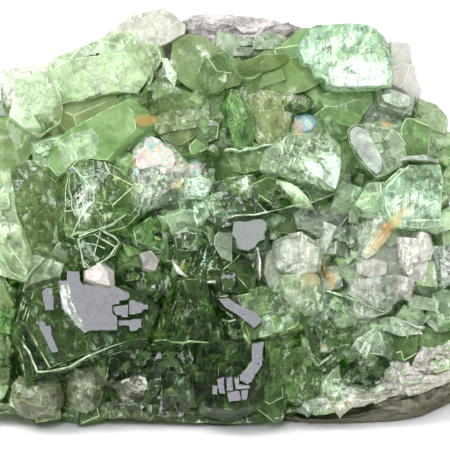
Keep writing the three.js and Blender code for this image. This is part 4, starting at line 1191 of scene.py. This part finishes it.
def growCrystals():
    joined = bpy.data.collections.new("joined")
    mass = heartOfMass()
    for i, crystal in enumerate(crystals):
        chance = random.Random(f"crystal at {crystal['at']}")
        addLedges(crystal, i, joined, chance, *addCrystal(crystal, i, joined, chance))
    draw = seededDraw(growth["seed"])
    chance = random.Random(5)
    for i, crystal in enumerate(smallCrystals(draw) + flankCrystals(draw)):
        before = [c["proud"] - growth["behind"] for c in crystals if isInside(crystal["at"], c["outline"])]
        crystal["proud"] = min([crystal["proud"], *before])
        crystal.update(zoneLook(crystal["at"], chance))
        addCrystal(crystal, len(crystals) + i, joined, chance)
    addSplinters(joined, chance)
    for i, lump in enumerate(lumps["places"]):
        addLump(*lump, i, joined, chance)
    for i, leaf in enumerate(leaves):
        addLeaf(*leaf, i, joined, chance)
    for i, facet in enumerate(pale):
        addPale(*facet, i, joined, random.Random(i))
    for i, seam in enumerate(seams):
        addSeam(seam, i, joined, random.Random(i))
    addCrumbs(joined, chance)
    applyBoolean(mass, "UNION", joined)
    print("crystals joined:", len(mass.data.polygons), "faces")
    addCracks(mass, chance)
    print("cracks cut:", len(mass.data.polygons), "faces")
    cutBehind(mass, chance)
    return mass


# the crystals' skin: fine enough to ripple, with soft marks of veil, stain and rainbow; one veil mark is a
# painted glint
skin = {
    "seed": 5,                 # keeps the ripples the same in each run
    "front": -4,               # how far out the finer skin begins
    "facet": (1.9, 4.2),       # longest edge in front, and behind
    "ripples": [(120, 0.34), (380, 0.12)],   # how close together, and how high
    "sharp": math.radians(24),
}
# where each mark lies, its size, its turn and its strength
marks = {
    "veil": [
        ((20, 98), (5, 2.5), -30, 0.8), ((40, 104.5), (18, 8), 0, 0.9), ((33, 113), (14, 4), -20, 0.9),
        ((27.5, 109), (7, 7), 0, 0.6), ((43, 111), (9, 6), 0, 0.4), ((28, 78), (13, 12), 0, 0.6),
        # the veil mark at (-6, 110.5) is a painted glint on the olive block
        ((55, 65.5), (14, 7), 0, 0.8), ((-6, 110.5), (5.5, 2), 35, 1), ((-17.3, 105.5), (4, 10), -15, 1),
        ((-42, 67), (5, 16), 0, 1), ((-38.5, 70), (3, 8), 0, 0.6), ((5.5, 70.7), (6, 4), 0, 1),
        ((-8, 68), (9, 9), 0, 0.5), ((57, 52), (12, 14), 0, 0.35), ((20, 48), (8, 12), 0, 0.35),
        ((65, 46), (5, 13), 0, 0.9), ((-22, 71), (8, 12), 0, 0.5), ((-65, 58), (6, 4), 0, 0.8),
        ((-62, 98), (20, 12), 0, 0.25), ((-17, 105), (4, 10), 0, 0.6), ((21, 69.6), (8, 3), 0, 0.7),
        ((41, 21), (5, 12), 0, 0.5), ((-26, 11), (6, 5), 0, 0.6), ((36, 12), (14, 5), 0, 0.5),
        ((-45.3, 34.5), (3.5, 15), -25, 0.5)],
    "stain": [
        ((-23.7, 90.3), (5.5, 3.2), 0, 1), ((25.5, 43.5), (5, 4.5), 0, 0.7), ((47.7, 89), (3.5, 2.6), 0, 0.9),
        ((48, 57.5), (3.4, 17), 38, 0.9), ((31.5, 42.6), (3, 5), 0, 1), ((-14, 71), (4, 3), 0, 0.6),
        ((21.7, 88), (3, 5), 0, 0.8)],
    "rainbow": [
        ((21.5, 96.5), (6, 3), 0, 0.5), ((24, 89), (7, 6), 0, 0.45), ((20, 37.5), (6, 5), 0, 0.4),
        ((29.4, 22.8), (2.6, 3), 0, 0.9), ((-20, 80.5), (11, 8), 0, 0.65), ((-26, 78.5), (2.5, 6), 0, 1),
        ((-16, 76.5), (9, 3), 0, 0.8), ((-9, 76.5), (3, 5), 0, 1), ((2, 62), (8, 4), 0, 0.4)],
}


def markAt(place, kind):
    most = 0
    for at, size, turn, strength in marks[kind]:
        away = Matrix.Rotation(math.radians(turn), 2) @ (Vector(place) - Vector(at))
        away = math.hypot(2 * away.x / size[0], 2 * away.y / size[1])
        most = max(most, strength * (1 - smoothStep(away, 0.6, 1.4)))
    return most


def isLong(edge):
    behind = min((intoFace @ v.co).z for v in edge.verts) < skin["front"] * mm
    return edge.calc_length() > skin["facet"][behind] * mm


def finishSkin(mass):
    bm = bmesh.new()
    bm.from_mesh(mass.data)
    bmesh.ops.triangulate(bm, faces=bm.faces)
    for _ in range(6):
        long = [e for e in bm.edges if isLong(e)]
        if not long:
            break
        bmesh.ops.subdivide_edges(bm, edges=long, cuts=1)
        bmesh.ops.triangulate(bm, faces=[f for f in bm.faces if len(f.verts) > 3])
    calmLayer = bm.faces.layers.float["calm"]
    markLayer = bm.verts.layers.float_vector.new("mark")
    noise.seed_set(skin["seed"])
    for vert in bm.verts:
        across, up, out = (intoFace @ vert.co) / mm
        free = 1 - max((f[calmLayer] for f in vert.link_faces), default=0)
        free *= smoothStep(vert.co.z / mm, 0, 2) * smoothStep(out - crustReach(across, up), 1, 6)
        for closeness, height in skin["ripples"]:
            vert.co += noise.noise_vector(vert.co * closeness) * height * mm * free
        if out > skin["front"]:
            vert[markLayer] = [markAt((across, up), kind) for kind in ("veil", "stain", "rainbow")]
    bm.to_mesh(mass.data)
    bm.free()
    mass.data.validate()
    shadeSmooth(mass.data)
    mass.data.set_sharp_from_angle(angle=skin["sharp"])


def shadeSmooth(data):
    data.polygons.foreach_set("use_smooth", [True] * len(data.polygons))


glass = {
    "ior": 1.434,
    "absorption": (0.56, 0.88, 0.36, 1),
    "density": 52,
    # how close together each pattern lies
    "scales": {"speckle": 420, "wisps": 130, "patches": 60, "bend": 140, "web": 120,
               "wear": 240, "facets": 340, "rainbow": 260, "grit": 600},
    "cleavage": (2000, 170, 170),    # how close together the cleavage lines lie, across them and along them
    "flecks": (1100, 380, 600),      # how close together the flecks lie along each axis
    "bend": (0.006, 0.006, 0.006),
    "lean": 0.22,
    "grit": 0.0001,
    "glitter": 0.0006,
    "teal": (0.38, 0.70, 0.66, 1),
    "honey": (0.72, 0.62, 0.36, 1),
    "edge": (0.66, 0.78, 0.48, 1),
    "veil": (0.76, 0.80, 0.73, 1),
    "mist": (0.56, 0.76, 0.44, 1),
    "stain": (0.62, 0.36, 0.10, 1),
    "rainbow": [(0.30, (0.05, 0.34, 0.52, 1)), (0.70, (0.75, 0.34, 0.32, 1)), (0.40, (0.28, 0.66, 0.42, 1)),
                (0.47, (0.72, 0.72, 0.80, 1)), (0.54, (0.80, 0.60, 0.16, 1)), (0.61, (0.48, 0.42, 0.76, 1))],
}


def crystalMaterial():
    material, connect, add, reckon, times, timesPlus, spread, clouds, mixed = newMaterial("greenFluorite")
    scales = glass["scales"]

    def vectorMath(operation, *values, output=0):
        return add("VectorMath", dict(enumerate(values)), operation=operation).outputs[output]

    def attribute(name, output):
        return add("Attribute", attribute_name=name).outputs[output]

    def less(value, taken):
        return reckon("SUBTRACT", value, taken)

    place = add("TexCoord").outputs["Object"]
    cloud, crazed, worn, phase, calm = [attribute(name, "Fac") for name in faceNumbers]
    tint, axisX, axisY = [attribute(name, "Vector") for name in faceVectors]
    veilAndGlintMask, stained, iridescent = add("SeparateXYZ", {0: attribute("mark", "Vector")}).outputs
    # every pattern lies along its own crystal's axes
    axisZ = vectorMath("CROSS_PRODUCT", axisX, axisY)
    along = [vectorMath("DOT_PRODUCT", place, axis, output="Value") for axis in (axisX, axisY, axisZ)]
    inCrystal = add("CombineXYZ", dict(zip("XYZ", along))).outputs[0]
    own = vectorMath("MULTIPLY_ADD", phase, (0.013, 0.007, 0.011), inCrystal)
    calmer = less(1, calm)

    speckle = spread(clouds(own, scales["speckle"], 5, 0.8)["Fac"], 0.34, 0.66)
    wisps = spread(clouds(place, scales["wisps"], 4, 0.65, 1.0)["Fac"], 0.40, 0.62)
    patches = spread(clouds(place, scales["patches"], 2)["Fac"], 0.44, 0.56)

    # streaks along the cube's cleavage and across its corners, each direction in its own patches
    others = less(1, patches)
    lines, fibres = 0, 0
    for turn, share in (((0, 0, 0), patches), ((0, 0, 1.571), others), ((0, 0.616, 0.785), patches),
                        ((0, -0.616, -0.785), others)):
        facing = add("VectorRotate", {"Vector": own, "Rotation": turn}, rotation_type="EULER_XYZ").outputs[0]
        streaks = clouds(vectorMath("MULTIPLY", facing, glass["cleavage"]), 1, 3, 0.6)["Fac"]
        lines = reckon("MAXIMUM", lines, times(spread(streaks, 0.66, 0.74), share))
        fibres = timesPlus(streaks, share, fibres)
    grain = timesPlus(speckle, 0.45, spread(fibres, 0.7, 1.3, 0, 0.55))
    bent = vectorMath("MULTIPLY_ADD", clouds(own, scales["bend"], 3)["Color"], glass["bend"], own)
    web = add("TexVoronoi", {"Vector": bent, "Scale": scales["web"]}, feature="DISTANCE_TO_EDGE").outputs
    web = times(spread(web["Distance"], 0, 0.035, 0.8, 0), spread(grain, 0.3, 0.7))
    lines = times(times(reckon("MAXIMUM", lines, web), crazed), calmer)
    # pale veils, and at one place a painted glint
    veil = times(veilAndGlintMask, spread(grain, 0.35, 0.75))
    edge = timesPlus(clouds(place, scales["wear"], 3, 0.6)["Fac"], 2, worn)
    edge = times(spread(edge, 1.35, 1.75), spread(worn, 0, 0.1))

    # bright and dark angular flecks, in swarms
    splintery = vectorMath("MULTIPLY", bent, glass["flecks"])
    shards = add("TexVoronoi", {"Vector": splintery, "Scale": 1}, distance="MANHATTAN").outputs
    red, green, blue = add("SeparateColor", {"Color": shards["Color"]}).outputs
    swarm = times(times(spread(wisps, 0.2, 0.9, 0.25, 1), crazed), calmer)
    bright = times(spread(red, 0.84, 0.88), swarm)
    dim = times(spread(green, 0.78, 0.84), swarm)

    # small flat cleavage facets, each tilted its own way
    cells = add("TexVoronoi", {"Vector": own, "Scale": scales["facets"]}, distance="CHEBYCHEV").outputs
    slopes = []
    for where, found in ((own, cells), (splintery, shards)):
        lean = vectorMath("SUBTRACT", found["Color"], (0.5, 0.5, 0.5))
        offset = vectorMath("SUBTRACT", where, found["Position"])
        slopes.append(vectorMath("DOT_PRODUCT", offset, lean, output="Value"))
    tone = add("SeparateColor", {"Color": cells["Color"]}).outputs["Green"]

    # how milky, and so how little light goes through
    mist = times(spread(reckon("ADD", wisps, grain), 0, 2, -0.45, 0.3), calmer)
    milk = timesPlus(cloud, mist, cloud)
    milk = timesPlus(times(less(tone, 0.5), calmer), 0.28, milk)
    milk = timesPlus(bright, 0.7, milk)
    opaque = reckon("ADD", timesPlus(lines, 0.8, milk), timesPlus(edge, 0.7, veil))
    opaque = timesPlus(reckon("MAXIMUM", stained, iridescent), 0.6, opaque)
    clear = reckon("SUBTRACT", 1, opaque, clamp=True)

    # colour
    shade = reckon("ADD", spread(grain, 0, 1, -0.30, 0.24), spread(tone, 0, 1, -0.16, 0.16))
    shade = timesPlus(dim, -0.45, timesPlus(shade, calmer, 1))
    colour = add("VectorMath", {0: tint, "Scale": shade}, operation="SCALE").outputs[0]
    haze = times(reckon("ADD", wisps, patches), cloud)
    colour = mixed(times(haze, 0.2), colour, glass["mist"])
    colour = mixed(reckon("MAXIMUM", times(edge, 0.65), times(lines, 0.7)), colour, glass["edge"])
    hue = mixed(spread(blue, 0.12, 0.14), glass["honey"], glass["veil"])
    hue = mixed(spread(blue, 0.70, 0.72), hue, glass["teal"])
    colour = mixed(times(bright, 0.8), colour, hue)
    colour = mixed(veil, colour, glass["veil"])
    colour = mixed(times(stained, spread(wisps, 0, 1, 0.5, 1)), colour, glass["stain"])
    rainbow = add("ValToRGB", {"Fac": clouds(own, scales["rainbow"], 2, distortion=1.2)["Fac"]})
    ramp = rainbow.color_ramp.elements
    for i, (position, hue) in enumerate(glass["rainbow"]):
        stop = ramp[i] if i < 2 else ramp.new(position)
        stop.position, stop.color = position, hue
    colour = mixed(times(iridescent, spread(grain, 0.1, 0.6, 0.4, 1)), colour, rainbow.outputs["Color"])

    relief = timesPlus(clouds(own, scales["grit"], 1)["Fac"], glass["grit"], times(slopes[0], glass["lean"]))
    relief = timesPlus(times(slopes[1], swarm), glass["glitter"], times(relief, calmer))
    bump = add("Bump", {"Height": relief, "Strength": 1, "Distance": 1})
    rough = reckon("ADD", 0.02, times(times(opaque, calmer), 0.25))
    volume = add("VolumeAbsorption", {"Color": glass["absorption"], "Density": glass["density"]})
    nodes = material.node_tree.nodes
    connect(nodes["Principled BSDF"], {"Base Color": colour, "Transmission Weight": clear, "Roughness": rough,
                                       "IOR": glass["ior"], "Normal": bump.outputs["Normal"]})
    connect(nodes["Material Output"], {"Volume": volume.outputs["Volume"]})
    return material


mass = growCrystals()
finishSkin(mass)
bpy.context.scene.collection.objects.link(mass)
mass.data.materials.clear()
mass.data.materials.append(crystalMaterial())
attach(mass, "root")
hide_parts("crystal_mass")
print("crystal mass:", len(mass.data.polygons), "triangles")


rock = {
    "voxel": 0.9,
    "lumps": [(90, 1.6), (260, 0.9), (700, 0.45)],   # how close together, and how deep
    "ridges": (80, 380, 700),                        # how close together along each axis
    "ridgeDepth": 3.6,
    "back": (4, 20),                                 # where the ridges fade out
    "grains": 2200,                                  # how close together
    "low": [(0.27, 0.23, 0.15, 1), (0.85, 0.77, 0.62, 1)],    # dark and light near the foot
    "high": [(0.30, 0.28, 0.26, 1), (0.58, 0.53, 0.52, 1)],   # and near the crest
    "darkGrain": (0.24, 0.21, 0.19, 1),
    "lightGrain": (0.80, 0.76, 0.74, 1),
    "green": (0.38, 0.44, 0.26, 1),
    # the dark at the foot: the rock's own dark colour and painted shade under the overhang together
    "under": (0.10, 0.10, 0.05, 1),
    "roughness": 0.85,
}


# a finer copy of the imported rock, worn inwards so that it stays inside it
def addRock():
    bm = bmesh.new()
    bm.from_mesh(frame["nodes"]["matrix_crust"].data)
    bmesh.ops.remove_doubles(bm, verts=bm.verts, dist=1e-6)
    piece = keepMesh(bm, "granular_rock", bpy.context.scene.collection)
    remesh = piece.modifiers.new("fine", "REMESH")
    remesh.mode = "VOXEL"
    remesh.voxel_size = rock["voxel"] * mm
    bakeModifiers(piece)
    bm = bmesh.new()
    bm.from_mesh(piece.data)
    for vert in bm.verts:
        free = smoothStep(vert.co.z / mm, 0.2, 2)
        depth = sum(height * abs(noise.noise(vert.co * closeness)) for closeness, height in rock["lumps"])
        ridge = noise.noise(Vector([c * s for c, s in zip(vert.co, rock["ridges"])]))
        depth += rock["ridgeDepth"] * abs(ridge) * (1 - 0.8 * smoothStep(vert.co.y / mm, *rock["back"]))
        vert.co -= vert.normal * depth * mm * free
    bm.to_mesh(piece.data)
    bm.free()
    shadeSmooth(piece.data)
    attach(piece, "root")
    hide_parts("matrix_crust")
    piece.data.materials.append(rockMaterial())
    print("rock:", len(piece.data.polygons), "faces")


def rockMaterial():
    material, connect, add, reckon, times, timesPlus, spread, clouds, mixed = newMaterial("granularRock")
    place = add("TexCoord").outputs["Object"]
    grains = add("TexVoronoi", {"Vector": place, "Scale": rock["grains"]}).outputs["Color"]
    red, green, _ = add("SeparateColor", {"Color": grains}).outputs
    ridges = add("VectorMath", {0: place, 1: rock["ridges"]}, operation="MULTIPLY").outputs[0]
    _, depth, height = add("SeparateXYZ", {0: place}).outputs
    # the ridges' own light and dark in front, plain patches behind
    rough = clouds(place, 110, 6, 0.75)["Fac"]
    ridged = spread(depth, *[y * mm for y in rock["back"]], 0.6, 0.1)
    tone = timesPlus(reckon("SUBTRACT", clouds(ridges, 1, 4, 0.6)["Fac"], rough), ridged, rough)
    high = spread(height, 0.05, 0.09)
    dark, light = [mixed(high, *pair) for pair in zip(rock["low"], rock["high"])]
    colour = mixed(spread(tone, 0.46, 0.54), dark, light)
    colour = mixed(spread(red, 0.70, 0.95, 0, 0.6), colour, rock["darkGrain"])
    colour = mixed(spread(green, 0.65, 0.90, 0, 0.5), colour, rock["lightGrain"])
    colour = mixed(spread(clouds(place, 35, 3)["Fac"], 0.55, 0.70, 0, 0.6), colour, rock["green"])
    # darker towards the ground: partly the rock's own dark colour, partly painted shade under the foot
    under = spread(timesPlus(tone, -0.008, height), -0.001, 0.006, 1, 0)
    colour = mixed(times(under, 0.85), colour, rock["under"])
    bump = add("Bump", {"Height": clouds(place, 900, 3)["Fac"], "Strength": 0.6, "Distance": 0.0006})
    connect(material.node_tree.nodes["Principled BSDF"],
            {"Base Color": colour, "Roughness": rock["roughness"], "Normal": bump.outputs["Normal"]})
    return material


addRock()
